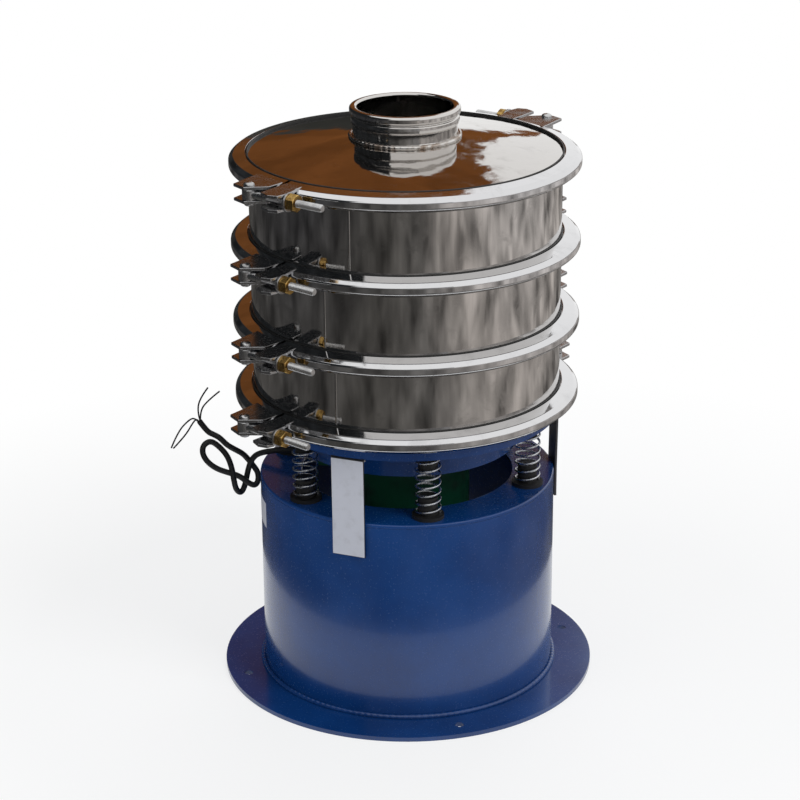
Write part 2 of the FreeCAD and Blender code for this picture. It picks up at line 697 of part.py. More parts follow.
def motor_lower_cover():
    """End plate with the boss that holds the lower bearing."""
    disc = ring(SHAFT_RADIUS + WEIGHT_GAP, MOTOR_RADIUS, LOWER_COVER_FOOT, BARREL_FOOT)
    boss = ring(BEARING_RADIUS, BEARING_RADIUS + BEARING_WALL, BARREL_FOOT, LOWER_BEARING + BEARING_THICKNESS)
    return disc.fuse(boss).removeSplitter()


def motor_bearings():
    bore = SHAFT_RADIUS + RUNNING_CLEARANCE
    return [ring(bore, BEARING_RADIUS, foot, foot + BEARING_THICKNESS) for foot in (UPPER_BEARING, LOWER_BEARING)]


def motor_stator():
    return ring(STATOR_BORE_RADIUS, MOTOR_BORE, STATOR_FOOT, STATOR_FOOT + STATOR_LENGTH)


def motor_rotor_core():
    outer = STATOR_BORE_RADIUS - AIR_GAP
    return ring(SHAFT_RADIUS, outer, STATOR_FOOT, STATOR_FOOT + STATOR_LENGTH)


def motor_shaft():
    return rod(SHAFT_RADIUS, SHAFT_FOOT, SHAFT_TOP)


def eccentric_weight(foot, bore, azimuth):
    """Split hub with a wide sector on one side."""
    spread = math.radians(WEIGHT_SPREAD)
    reach, hub = WEIGHT_RADIUS, WEIGHT_HUB_RADIUS
    side, depth = math.sin(spread), math.cos(spread)
    sector = plate([
        (-hub * side, hub * depth),
        (-reach * side, reach * depth),
        (reach * side, reach * depth, 0, reach),
        (hub * side, hub * depth),
    ], foot, foot + WEIGHT_THICKNESS)
    hub_disc = rod(hub, foot, foot + WEIGHT_THICKNESS)
    hole = rod(bore, foot, foot + WEIGHT_THICKNESS)
    return turned(sector.fuse(hub_disc).removeSplitter().cut(hole), azimuth)


def motor_bolts():
    """Bolts through the motor flange and the chassis plate, heads below and nuts above."""
    foot = BARREL_TOP - MOTOR_FLANGE_THICKNESS
    radius = MOTOR_BOLT_DIAMETER / 2
    base = front(MOTOR_BOLT_CIRCLE / 2, foot)
    top = CHASSIS_TOP + MOTOR_BOLT_HEAD_HEIGHT
    shank = Part.makeCylinder(radius, top - foot, base, UP)
    head = hexagon(MOTOR_BOLT_HEAD_FLATS, MOTOR_BOLT_HEAD_HEIGHT, base, -UP)
    nut = hexagon(MOTOR_BOLT_HEAD_FLATS, MOTOR_BOLT_HEAD_HEIGHT, front(MOTOR_BOLT_CIRCLE / 2, CHASSIS_TOP), UP)
    return around(shank.fuse([head, nut]).removeSplitter(), MOTOR_BOLTS, 180.0 / MOTOR_BOLTS)


def box_heights():
    top = BARREL_TOP - BOX_TOP_DROP
    return top - BOX_HEIGHT, top


def terminal_box():
    """Connection box on the side of the barrel."""
    low, high = box_heights()
    half = BOX_WIDTH / 2
    block = plate([(-half, 0), (-half, BOX_REACH - BOX_LID_THICKNESS),
                   (half, BOX_REACH - BOX_LID_THICKNESS), (half, 0)], low, high)
    return turned(block.cut(rod(MOTOR_RADIUS, low, high)), BOX_AZIMUTH)


def terminal_box_lid():
    low, high = box_heights()
    half = BOX_WIDTH / 2
    near = BOX_REACH - BOX_LID_THICKNESS
    return turned(plate([(-half, near), (-half, BOX_REACH), (half, BOX_REACH), (half, near)], low, high), BOX_AZIMUTH)


def gland_height():
    return box_heights()[0] + GLAND_RISE


def cable_gland():
    """Nut and tapered sleeve on the connection box, which the cable leaves through."""
    start = front(BOX_REACH, gland_height())
    nut = hexagon(2 * GLAND_RADIUS, GLAND_NUT_LENGTH, start, OUT)
    sleeve = Part.makeCone(GLAND_RADIUS, GLAND_TIP_RADIUS, GLAND_LENGTH - GLAND_NUT_LENGTH,
                           start + OUT * GLAND_NUT_LENGTH, OUT)
    return turned(nut.fuse(sleeve).removeSplitter(), BOX_AZIMUTH)


# ---- transport straps -------------------------------------------------------------------------
def transport_straps():
    """Bent strips from a tab under the chassis down over the edge of the drum."""
    foot = DRUM_TOP - STRAP_OVERLAP
    drum, rim = DRUM_RADIUS + STRAP_CLEARANCE, SHELL_RADIUS
    half = STRAP_WIDTH / 2
    under = CHASSIS_UNDERSIDE - STRAP_THICKNESS
    corners = [
        (drum, foot),
        (drum, DRUM_TOP),
        (rim - STRAP_THICKNESS, under),
        (rim - STRAP_TAB, under),
        (rim - STRAP_TAB, CHASSIS_UNDERSIDE),
        (rim, CHASSIS_UNDERSIDE),
        (drum + STRAP_THICKNESS, DRUM_TOP),
        (drum + STRAP_THICKNESS, foot),
    ]
    outline = wire_through(corners, lambda out, z: front(out, z, -half))
    strips = around(Part.Face(outline).extrude(ACROSS * STRAP_WIDTH), STRAPS, STRAP_AZIMUTH)
    return [strip.cut(strap_bolt_holes(under, CHASSIS_UNDERSIDE)) for strip in strips]


def strap_bolts():
    """Pairs of bolts up through each strap's tab, their nuts inside the chassis."""
    bolts = []
    out = SHELL_RADIUS - STRAP_BOLT_SETBACK
    under = CHASSIS_UNDERSIDE - STRAP_THICKNESS
    for side in (-1, 1):
        across = side * STRAP_BOLT_SPACING / 2
        head = hexagon(STRAP_BOLT_HEAD_FLATS, STRAP_BOLT_HEAD_HEIGHT, front(out, under, across), -UP)
        nut = hexagon(STRAP_BOLT_HEAD_FLATS, STRAP_BOLT_HEAD_HEIGHT, front(out, CHASSIS_TOP, across), UP)
        shank = rod(STRAP_BOLT_DIAMETER / 2, under, CHASSIS_TOP + STRAP_BOLT_HEAD_HEIGHT, across, out)
        bolts += around(shank.fuse([head, nut]).removeSplitter(), STRAPS, STRAP_AZIMUTH)
    return bolts


# ---- motor cable ------------------------------------------------------------------------------
def tube_along(points, radius, name):
    """Round tube of straight runs joined by tangent arcs, each as large as its two runs allow."""
    points = [FreeCAD.Vector(*point) for point in points]
    edges, start, radii = [], points[0], []
    for before, corner, after in zip(points, points[1:], points[2:]):
        back, ahead = before - corner, after - corner
        trim = 0.45 * min(back.Length, ahead.Length)
        turn = math.pi - back.getAngle(ahead)
        radii.append(trim / math.tan(turn / 2))
        first, last = corner + back.normalize() * trim, corner + ahead.normalize() * trim
        middle = corner + (back + ahead).normalize() * (radii[-1] * (1 / math.cos(turn / 2) - 1))
        edges += [Part.LineSegment(start, first).toShape(), Part.Arc(first, middle, last).toShape()]
        start = last
    edges.append(Part.LineSegment(start, points[-1]).toShape())
    path = Part.Wire(edges)
    section = Part.Wire(Part.makeCircle(radius, points[0], points[1] - points[0]))
    tube = path.makePipeShell([section], True, False)
    ratio = tube.Volume / (math.pi * radius ** 2 * path.Length)
    print(name, "length", round(path.Length, 1), "volume ratio", round(ratio, 4),
          "radii", [round(value, 1) for value in radii])
    return tube


def motor_cable():
    """The lead from the gland over the edge of the drum to the knotted bundle."""
    exit_point = front(BOX_REACH + GLAND_LENGTH + SEAT_CLEARANCE, gland_height())
    exit_point = Part.Vertex(exit_point)
    exit_point = turned(exit_point, BOX_AZIMUTH).Point
    return tube_along([tuple(exit_point)] + CABLE_ROUTE, CABLE_RADIUS, "motor_cable")


def mouth(end, before, side):
    """Corner of the bundle's flat face that the cable meets square on."""
    run = FreeCAD.Vector(end[0] - before[0], 0, end[2] - before[2]).normalize()
    return (end[0] - side * run.z * BUNDLE_MOUTH, end[2] + side * run.x * BUNDLE_MOUTH)


def cable_bundle():
    """The outer shape of the knotted turns."""
    corners = [mouth(CABLE_ROUTE[-1], CABLE_ROUTE[-2], 1)] + BUNDLE_RIGHT
    corners += [mouth(SHEATH_END[0], SHEATH_END[1], -1), mouth(SHEATH_END[0], SHEATH_END[1], 1)] + BUNDLE_TOP
    corners.append(mouth(CABLE_ROUTE[-1], CABLE_ROUTE[-2], -1))
    near, far = BUNDLE_DEPTH
    outline = wire_through(corners, lambda x, z: FreeCAD.Vector(x, near, z))
    return Part.Face(outline).extrude(FreeCAD.Vector(0, far - near, 0))


def cable_end():
    return tube_along(SHEATH_END, CABLE_RADIUS, "cable_end")


def cable_cores():
    """Four bare cores, which start side by side just clear of the sheath's end."""
    start, end = (FreeCAD.Vector(*point) for point in SHEATH_END)
    run = (end - start).normalize()
    beside = run.cross(FreeCAD.Vector(0, 1, 0))
    cores = []
    for index, route in enumerate(CORE_ROUTES):
        right, deep = (-1 if index < 2 else 1), (1 if index % 2 else -1)
        spread = beside * (right * CORE_SPACING) + FreeCAD.Vector(0, deep * CORE_SPACING, 0)
        root_point = end + run * CORE_CLEARANCE + spread
        cores.append(tube_along([tuple(root_point)] + route, CORE_RADIUS, "core"))
    return cores


# ---- assembly ---------------------------------------------------------------------------------
def build():
    os.makedirs("parts", exist_ok=True)
    keep("base_flange", base_flange())
    keep("base_drum", base_drum())
    keep("base_top_plate", base_top_plate())
    keep("lower_spring_seats", *lower_spring_seats())
    keep("upper_spring_seats", *upper_spring_seats())
    keep("springs", *springs())

    keep("chassis_pan", chassis_pan())
    keep("chassis_skirt", chassis_skirt())
    keep("transport_straps", *transport_straps())
    keep("strap_bolts", *strap_bolts())

    frames = [("lower", RING_4, RING_3), ("middle", RING_3, RING_2), ("upper", RING_2, RING_1)]
    for (name, below, above), azimuth in zip(frames, SPOUT_AZIMUTHS):
        keep(name + "_frame", sieve_frame(below, above, azimuth))
        keep(name + "_spout", discharge_spout(below, azimuth))
    keep("bottom_dome", bottom_dome())
    keep("lid", lid())
    keep("feed_collar", feed_collar())

    keep("gaskets", *[piece for name, height in RING_HEIGHTS.items() for piece in gasket(height, name in "32")])
    keep("deck_rings", deck_ring(RING_3), deck_ring(RING_2))
    keep("screen_meshes", screen_mesh(RING_3), screen_mesh(RING_2))

    pins = []
    for (name, height), azimuth in zip(RING_HEIGHTS.items(), CLOSURE_AZIMUTHS):
        keep("clamp_ring_" + name, clamp_half(height, azimuth), clamp_half(height, azimuth + 180))
        for side, turn in (("front", azimuth), ("rear", azimuth + 180)):
            pins.append(turned(closure_pin(height), turn))
            keep("swing_bolt_" + name + "_" + side, turned(swing_bolt(height), turn))
            keep("clamp_nut_" + name + "_" + side, *[turned(piece, turn) for piece in clamp_nut(height)])
    keep("closure_pins", *pins)

    keep("motor_housing", motor_housing())
    keep("motor_upper_cover", motor_upper_cover())
    keep("motor_lower_cover", motor_lower_cover())
    keep("motor_bearings", *motor_bearings())
    keep("motor_stator", motor_stator())
    keep("motor_bolts", *motor_bolts())
    keep("terminal_box", terminal_box())
    keep("terminal_box_lid", terminal_box_lid())
    keep("cable_gland", cable_gland())
    keep("motor_shaft", motor_shaft())
    keep("motor_rotor_core", motor_rotor_core())
    keep("upper_weight", eccentric_weight(UPPER_WEIGHT_FOOT, SHAFT_RADIUS, 0))
    keep("lower_weight", eccentric_weight(SHAFT_FOOT, SHAFT_RADIUS + RUNNING_CLEARANCE, 0))

    keep("motor_cable", motor_cable())
    keep("cable_bundle", cable_bundle())
    keep("cable_end", cable_end())
    keep("cable_cores", *cable_cores())


build()
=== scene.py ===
import json
import math
import bmesh
import bpy
import numpy as np
from mathutils import Matrix, Vector


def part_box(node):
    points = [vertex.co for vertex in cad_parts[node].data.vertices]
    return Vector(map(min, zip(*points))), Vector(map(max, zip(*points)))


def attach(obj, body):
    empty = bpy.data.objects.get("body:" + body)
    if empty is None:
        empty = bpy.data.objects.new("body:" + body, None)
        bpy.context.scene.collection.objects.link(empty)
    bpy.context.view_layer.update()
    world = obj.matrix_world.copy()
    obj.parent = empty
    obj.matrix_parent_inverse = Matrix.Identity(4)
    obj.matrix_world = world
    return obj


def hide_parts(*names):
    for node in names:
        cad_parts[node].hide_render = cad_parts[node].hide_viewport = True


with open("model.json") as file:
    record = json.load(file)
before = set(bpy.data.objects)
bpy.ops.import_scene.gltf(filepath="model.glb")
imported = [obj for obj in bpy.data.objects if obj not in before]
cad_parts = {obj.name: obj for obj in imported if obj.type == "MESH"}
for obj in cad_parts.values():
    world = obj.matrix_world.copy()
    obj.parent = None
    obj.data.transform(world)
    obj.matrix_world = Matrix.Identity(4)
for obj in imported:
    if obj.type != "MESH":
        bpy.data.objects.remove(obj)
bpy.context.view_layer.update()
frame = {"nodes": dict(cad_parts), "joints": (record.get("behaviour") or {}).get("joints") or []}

# A 400 mm vibrating sieve: polished frames and clamp rings on a blue sprung base, with a knotted cable.

MM = 0.001
NODES = frame["nodes"]
JOINTS = {joint["name"]: joint for joint in frame["joints"]}
UP = np.array([0.0, 0.0, 1.0])


def linked(name, data):
    piece = bpy.data.objects.new(name, data)
    bpy.context.scene.collection.objects.link(piece)
    return piece


def outward(azimuth):
    """Level unit vector at an azimuth in radians, which is 0 towards -Y and grows towards +X."""
    return np.array([math.sin(azimuth), -math.cos(azimuth), 0.0])


def outwards(azimuths):
    """One such vector for each azimuth."""
    return np.stack([np.sin(azimuths), -np.cos(azimuths), np.zeros_like(azimuths)], axis=1)


def middle_height(node):
    low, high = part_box(node)
    return (low.z + high.z) / 2


def top_of(node):
    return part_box(node)[1].z


def foot_of(node):
    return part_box(node)[0].z


RING_Z = {n: middle_height(f"clamp_ring_{n}") for n in "1234"}
SHELL = 205.2
SHELL_R = SHELL * MM
BAND = 230.0
DRUM = 200.0
DRUM_R = DRUM * MM
DRUM_TOP = top_of("base_top_plate")
PLATE_UNDER = foot_of("chassis_pan")

# ---- camera -----------------------------------------------------------------------------------
CAMERA_PLACE = (0.0, -3.036, 1.541)
CAMERA_DOWN = 20.9
CAMERA_TURN = 0.17
CAMERA_ROLL = -0.4
CAMERA_LENS = 108.2


def add_camera():
    camera = linked("camera", bpy.data.cameras.new("camera"))
    camera.data.lens = CAMERA_LENS
    camera.data.sensor_width = 36.0
    turn = Matrix.Rotation(math.radians(CAMERA_TURN), 4, "Z")
    tilt = Matrix.Rotation(math.radians(90 - CAMERA_DOWN), 4, "X")
    roll = Matrix.Rotation(math.radians(CAMERA_ROLL), 4, "Z")
    camera.matrix_world = Matrix.Translation(CAMERA_PLACE) @ turn @ tilt @ roll
    bpy.context.scene.camera = camera


add_camera()


# ---- shader maths -----------------------------------------------------------------------------
class Value:
    """A socket that holds a number; arithmetic on it adds Math nodes."""

    def __init__(self, material, socket):
        self.material, self.socket = material, socket

    def _math(self, operation, *others, first=None):
        inputs = [self.socket if first is None else first] + [getattr(o, "socket", o) for o in others]
        return self.material.node("ShaderNodeMath", {"operation": operation}, dict(enumerate(inputs)))

    def __add__(self, other):
        return self._math("ADD", other)

    def __sub__(self, other):
        return self._math("SUBTRACT", other)

    def __mul__(self, other):
        return self._math("MULTIPLY", other)

    def __rsub__(self, other):
        return self._math("SUBTRACT", self, first=other)

    __radd__ = __add__
    __rmul__ = __mul__

    def ramp(self, low, high):
        """0 below low, 1 above high, smooth between them."""
        settings = {"interpolation_type": "SMOOTHSTEP"}
        inputs = {"Value": self, "From Min": low, "From Max": high}
        return self.material.node("ShaderNodeMapRange", settings, inputs)


class Material:
    """A node material whose main shader is a Principled BSDF."""

    def __init__(self, name, colour, roughness, metallic=0.0, **sockets):
        self.data = bpy.data.materials.new(name)
        self.data.use_nodes = True
        self.tree = self.data.node_tree
        self.tree.nodes.clear()
        output = self.tree.nodes.new("ShaderNodeOutputMaterial")
        self.shader = self.tree.nodes.new("ShaderNodeBsdfPrincipled")
        self.tree.links.new(self.shader.outputs[0], output.inputs["Surface"])
        self.place = self.node("ShaderNodeTexCoord", {}, {}, "Object")
        self.set(**{"Base Color": colour, "Roughness": roughness, "Metallic": metallic})
        self.set(**sockets)

    def set(self, **sockets):
        for name, value in sockets.items():
            self._fill(self.shader.inputs[name.replace("_", " ")], value)

    def _fill(self, socket, value):
        value = getattr(value, "socket", value)
        if isinstance(value, bpy.types.NodeSocket):
            self.tree.links.new(value, socket)
        elif isinstance(value, (tuple, list)) and len(value) == 3 and len(socket.default_value) == 4:
            socket.default_value = (*value, 1.0)
        else:
            socket.default_value = value

    def node(self, kind, settings, inputs, output=0):
        """A new node with its settings and inputs; returns one of its outputs."""
        node = self.tree.nodes.new(kind)
        for name, value in settings.items():
            if name == "stops":
                self._stops(node.color_ramp, value)
            else:
                setattr(node, name, value)
        for name, value in inputs.items():
            self._fill(node.inputs[name], value)
        return Value(self, node.outputs[output])

    @staticmethod
    def _stops(ramp, stops):
        while len(ramp.elements) < len(stops):
            ramp.elements.new(1.0)
        for element, (position, colour) in zip(ramp.elements, stops):
            element.position, element.color = position, (*colour, 1.0)

    def mapped(self, scale=(1, 1, 1), place=None):
        return self.node("ShaderNodeMapping", {}, {"Vector": place or self.place, "Scale": scale})

    def noise(self, scale, detail=3.0, stretch=(1, 1, 1), roughness=0.5, distortion=0.0, place=None):
        inputs = {"Vector": self.mapped(stretch, place), "Scale": scale, "Detail": detail,
                  "Roughness": roughness, "Distortion": distortion}
        return self.node("ShaderNodeTexNoise", {}, inputs)

    def mix(self, share, first, second):
        """A colour that goes from first to second as share goes from 0 to 1."""
        inputs = {0: share, 6: first, 7: second}
        return self.node("ShaderNodeMix", {"data_type": "RGBA"}, inputs, 2)

    def bump(self, height, distance, strength=1.0, below=None):
        inputs = {"Height": height, "Distance": distance, "Strength": strength}
        if below is not None:
            inputs["Normal"] = below
        return self.node("ShaderNodeBump", {}, inputs)


# ---- finishes ---------------------------------------------------------------------------------
def polished_sheet(name, colour, polish):
    """Mirror-polished stainless sheet: slow waves in the metal, faint wiped streaks and finger marks."""
    m = Material(name, colour, polish, 1.0)
    waves = m.noise(9.0, 2.0, stretch=(1, 1, 0.35))
    ripple = m.noise(34.0, 2.0, stretch=(1, 1, 0.2))
    grain = m.noise(900.0, 1.0, stretch=(1, 1, 0.02))
    smudge = m.noise(22.0, 5.0, roughness=0.62, distortion=0.6).ramp(0.52, 0.72)
    streak = m.noise(120.0, 3.0, stretch=(1, 1, 0.04)).ramp(0.55, 0.8)
    m.set(**{"Roughness": (smudge * 0.10 + streak * 0.05 + polish)})
    dull = m.mix(smudge * 0.35 + streak * 0.15, colour, tuple(0.72 * c for c in colour))
    m.set(**{"Base Color": dull})
    normal = m.bump(waves, 0.004, 0.5)
    normal = m.bump(ripple, 0.0006, 0.4, normal)
    m.set(Normal=m.bump(grain, 0.00003, 0.25, normal))
    return m


def satin_steel(name, colour=(0.55, 0.55, 0.56), roughness=0.3):
    """Machined or brushed steel with fine grain and darker marks."""
    m = Material(name, colour, roughness, 1.0)
    grain = m.noise(420.0, 3.0, stretch=(1, 1, 0.15))
    blotch = m.noise(60.0, 4.0).ramp(0.45, 0.75)
    m.set(**{"Base Color": m.mix(blotch * 0.6, colour, tuple(0.6 * c for c in colour))})
    m.set(Roughness=grain * 0.2 + blotch * 0.12 + (roughness - 0.08))
    m.set(Normal=m.bump(grain, 0.00008, 0.5))
    return m


def zinc_plate():
    """Bright zinc on spring wire and bolts, with a cloudy bloom."""
    m = Material("zinc_plate", (0.66, 0.68, 0.70), 0.28, 1.0)
    bloom = m.noise(260.0, 4.0).ramp(0.4, 0.7)
    m.set(**{"Base Color": m.mix(bloom, (0.70, 0.72, 0.75), (0.46, 0.48, 0.50))})
    m.set(Roughness=bloom * 0.2 + 0.2)
    m.set(Normal=m.bump(bloom, 0.00005, 0.4))
    return m


def turned_brass():
    """Machined brass that has browned in places."""
    m = Material("turned_brass", (0.55, 0.34, 0.11), 0.3, 1.0)
    tarnish = m.noise(160.0, 5.0, roughness=0.65).ramp(0.42, 0.7)
    tool = m.noise(700.0, 2.0, stretch=(0.2, 0.2, 1))
    m.set(**{"Base Color": m.mix(tarnish, (0.62, 0.40, 0.13), (0.22, 0.11, 0.035))})
    m.set(Roughness=tarnish * 0.25 + tool * 0.12 + 0.16)
    m.set(Normal=m.bump(tool, 0.00006, 0.5))
    return m


def blue_enamel():
    """Deep blue gloss paint with orange peel, faint runs and dust."""
    m = Material("blue_enamel", (0.004, 0.040, 0.17), 0.25)
    peel = m.noise(330.0, 2.0)
    sag = m.noise(14.0, 3.0, stretch=(1, 1, 0.25))
    patch = m.noise(7.0, 4.0, roughness=0.6)
    dust = m.noise(420.0, 5.0).ramp(0.6, 0.72)
    speck = m.noise(1500.0, 1.0).ramp(0.7, 0.78)
    tint = m.mix(patch.ramp(0.3, 0.7), (0.003, 0.033, 0.145), (0.005, 0.050, 0.205))
    tint = m.mix(speck * 0.12 + dust * 0.05, tint, (0.10, 0.16, 0.26))
    m.set(**{"Base Color": tint, "Specular IOR Level": 0.5, "Coat Weight": 0.35, "Coat Roughness": 0.08})
    m.set(Roughness=patch * 0.12 + dust * 0.2 + 0.16)
    normal = m.bump(sag, 0.0012, 0.25)
    m.set(Normal=m.bump(peel, 0.00012, 0.35, normal))
    return m


def green_enamel():
    """Dark green motor paint, slightly rough."""
    m = Material("green_enamel", (0.004, 0.045, 0.020), 0.38)
    peel = m.noise(240.0, 4.0)
    grime = m.noise(30.0, 5.0).ramp(0.45, 0.75)
    m.set(**{"Base Color": m.mix(grime, (0.005, 0.060, 0.028), (0.004, 0.016, 0.010))})
    m.set(Roughness=grime * 0.2 + 0.32)
    m.set(Normal=m.bump(peel, 0.0003, 0.5))
    return m


def black_rubber(name="black_rubber", colour=(0.012, 0.012, 0.012)):
    """Moulded rubber with a fine matt grain and a grey bloom."""
    m = Material(name, colour, 0.6)
    grain = m.noise(1300.0, 3.0)
    bloom = m.noise(70.0, 4.0).ramp(0.5, 0.8)
    m.set(**{"Base Color": m.mix(bloom * 0.5, colour, tuple(c + 0.02 for c in colour))})
    m.set(Roughness=bloom * 0.12 + 0.52)
    m.set(Normal=m.bump(grain, 0.00008, 0.5))
    return m


def cast_iron():
    """Rough grey iron of the eccentric weights."""
    m = Material("cast_iron", (0.06, 0.06, 0.06), 0.7, 0.6)
    grain = m.noise(500.0, 6.0, roughness=0.7)
    m.set(**{"Base Color": m.mix(grain, (0.03, 0.03, 0.03), (0.12, 0.115, 0.11))})
    m.set(Roughness=grain * 0.3 + 0.5)
    m.set(Normal=m.bump(grain, 0.0004, 0.7))
    return m


def bare_label():
    """Pale glossy label film, blank, with slight dirt in patches."""
    m = Material("bare_label", (0.55, 0.56, 0.62), 0.35)
    dirt = m.noise(60.0, 5.0, roughness=0.6).ramp(0.48, 0.75)
    crease = m.noise(40.0, 3.0, stretch=(1, 1, 0.4))
    m.set(**{"Base Color": m.mix(dirt * 0.5, (0.56, 0.57, 0.63), (0.40, 0.40, 0.44))})
    m.set(Roughness=dirt * 0.2 + 0.3)
    m.set(Normal=m.bump(crease, 0.0008, 0.3))
    return m


def weld_metal():
    """Heat-tinted weld bead."""
    m = Material("weld_metal", (0.5, 0.47, 0.44), 0.22, 1.0)
    heat = m.noise(90.0, 3.0).ramp(0.35, 0.7)
    m.set(**{"Base Color": m.mix(heat, (0.66, 0.64, 0.62), (0.34, 0.27, 0.22))})
    m.set(Roughness=heat * 0.15 + 0.16)
    m.set(Normal=m.bump(m.noise(700.0, 2.0), 0.0001, 0.5))
    return m


def woven_mesh():
    """Fine woven wire cloth: two sets of crossing wires, with painted shade in the openings between them."""
    m = Material("woven_mesh", (0.5, 0.5, 0.5), 0.35, 1.0)
    pitch = 1.6 * MM
    parts = m.node("ShaderNodeSeparateXYZ", {}, {"Vector": m.place}, 0)
    across = [Value(m, parts.socket.node.outputs[axis]) for axis in (0, 1)]
    waves = [(value * (2 * math.pi / pitch))._math("SINE") for value in across]
    wires = [wave.ramp(0.0, 0.7) for wave in waves]
    cloth = wires[0]._math("MAXIMUM", wires[1])
    # Near black between the wires is painted shade for the dark space seen through the openings.
    m.set(**{"Base Color": m.mix(cloth, (0.02, 0.02, 0.02), (0.55, 0.55, 0.55))})
    m.set(Metallic=cloth, Roughness=0.7 - cloth * 0.35)
    m.set(Normal=m.bump(cloth, 0.0003, 0.6))
    return m


STEEL_SHEET = polished_sheet("polished_sheet", (0.60, 0.585, 0.57), 0.06)
LID_SHEET = polished_sheet("polished_lid", (0.62, 0.60, 0.58), 0.045)
BAND_STEEL = polished_sheet("polished_band", (0.70, 0.70, 0.71), 0.07)
COLLAR_STEEL = polished_sheet("polished_collar", (0.64, 0.62, 0.60), 0.07)
SATIN = satin_steel("satin_steel")
PLATE_STEEL = satin_steel("lug_steel", (0.50, 0.50, 0.51), 0.2)
BOLT_STEEL = satin_steel("bolt_steel", (0.60, 0.60, 0.60), 0.26)
# Dark grey strap steel: partly dark paint, partly painted shade of the straps' unlit edges.
STRAP_STEEL_AND_SHADE = satin_steel("strap_steel_and_painted_shade", (0.16, 0.16, 0.17), 0.4)
ZINC = zinc_plate()
BRASS = turned_brass()
BLUE = blue_enamel()
GREEN = green_enamel()
RUBBER = black_rubber()
CABLE_SHEATH = black_rubber("cable_sheath", (0.010, 0.010, 0.010))
IRON = cast_iron()
LABEL = bare_label()
WELD = weld_metal()
CLOTH = woven_mesh()
COPPER = satin_steel("winding_copper", (0.35, 0.14, 0.06), 0.4)


# ---- surfaces ---------------------------------------------------------------------------------
def grid_faces(rows, columns, close_rows=False, close_columns=False):
    """Quads between neighbouring rows and columns of a grid that is stored row by row."""
    row = np.arange(rows if close_rows else rows - 1)[:, None]
    column = np.arange(columns if close_columns else columns - 1)[None, :]
    next_row, next_column = (row + 1) % rows, (column + 1) % columns
    corners = [row * columns + column, row * columns + next_column,
               next_row * columns + next_column, next_row * columns + column]
    return np.stack(np.broadcast_arrays(*corners), axis=-1).reshape(-1, 4)


def merged(*parts):
    """One (points, faces, normals) triple from several, numbering their points on."""
    points, faces, normals, count = [], [], [], 0
    for part_points, part_faces, part_normals in parts:
        points.append(part_points.reshape(-1, 3))
        normals.append(part_normals.reshape(-1, 3))
        faces += [tuple(np.asarray(face) + count) for face in part_faces]
        count += len(points[-1])
    return np.concatenate(points), faces, np.concatenate(normals)


def put(name, shape, body, material, replaces=(), sharp=None):
    """Makes the mesh object of a (points, faces, normals) triple, which rides on a body."""
    points, faces, normals = shape
    mesh = bpy.data.meshes.new(name)
    mesh.from_pydata(points.reshape(-1, 3).tolist(), [], [tuple(int(i) for i in face) for face in faces])
    mesh.polygons.foreach_set("use_smooth", np.ones(len(mesh.polygons), dtype=bool))
    if sharp is not None:
        mesh.set_sharp_from_angle(angle=math.radians(sharp))
    elif normals is not None:
        mesh.normals_split_custom_set_from_vertices(normals.reshape(-1, 3).tolist())
    mesh.update()
    piece = linked(name, mesh)
    mesh.materials.append(material.data)
    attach(piece, body)
    if replaces:
        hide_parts(*replaces)
    return piece


def rounded(corners, steps=5):
    """Points and outward normals of a closed outline of (across, height, rounding) corners, anticlockwise.
    Each corner becomes the arc of its rounding that touches both of its sides."""
    corners = [(np.array(c[:2]) * MM, c[2] * MM) for c in corners]
    points, normals = [], []
    for index, (corner, rounding) in enumerate(corners):
        before, after = corners[index - 1][0], corners[(index + 1) % len(corners)][0]
        inward, outward = corner - before, after - corner
        limit = 0.49 * min(np.linalg.norm(inward), np.linalg.norm(outward))
        inward, outward = inward / np.linalg.norm(inward), outward / np.linalg.norm(outward)
        start_angle = math.atan2(-inward[0], inward[1])
        turn = math.atan2(inward[0] * outward[1] - inward[1] * outward[0], float(inward @ outward))
        trim = min(rounding * abs(math.tan(turn / 2)), limit)
        radius = trim / max(abs(math.tan(turn / 2)), 1e-6)
        side = math.copysign(1.0, turn)
        angles = start_angle + np.linspace(0, turn, steps)
        normal = np.stack([np.cos(angles), np.sin(angles)], axis=1)
        centre = corner - inward * trim - side * radius * normal[0]
        points.append(centre + side * radius * normal)
        normals.append(normal)
    return np.concatenate(points), np.concatenate(normals)


def lathed(outline, segments=256, sector=None, steps=5):
    """Outline turned about the vertical axis: a point at radius r, height z and azimuth a lies at
    (r sin a, -r cos a, z). A sector (start, end) in degrees gets flat ends."""
    profile, normal = rounded(outline, steps)
    closed = sector is None
    angles = np.linspace(*np.radians(sector or (0.0, 360.0)), segments, endpoint=not closed)
    around = np.stack([np.sin(angles), -np.cos(angles)], axis=1)
    points = np.empty((len(profile), segments, 3))
    normals = np.empty_like(points)
    for target, source in ((points, profile), (normals, normal)):
        target[..., :2] = source[:, None, :1] * around[None]
        target[..., 2] = source[:, None, 1]
    body = (points, grid_faces(len(profile), segments, True, closed), normals)
    if closed:
        return merged(body)
    count = len(profile)
    along = np.stack([np.cos(angles), np.sin(angles), np.zeros(segments)], axis=1)
    first = (points[:, 0], [tuple(range(count))], np.tile(-along[0], (count, 1)))
    last = (points[:, -1], [tuple(range(count))[::-1]], np.tile(along[-1], (count, 1)))
    return merged(body, first, last)


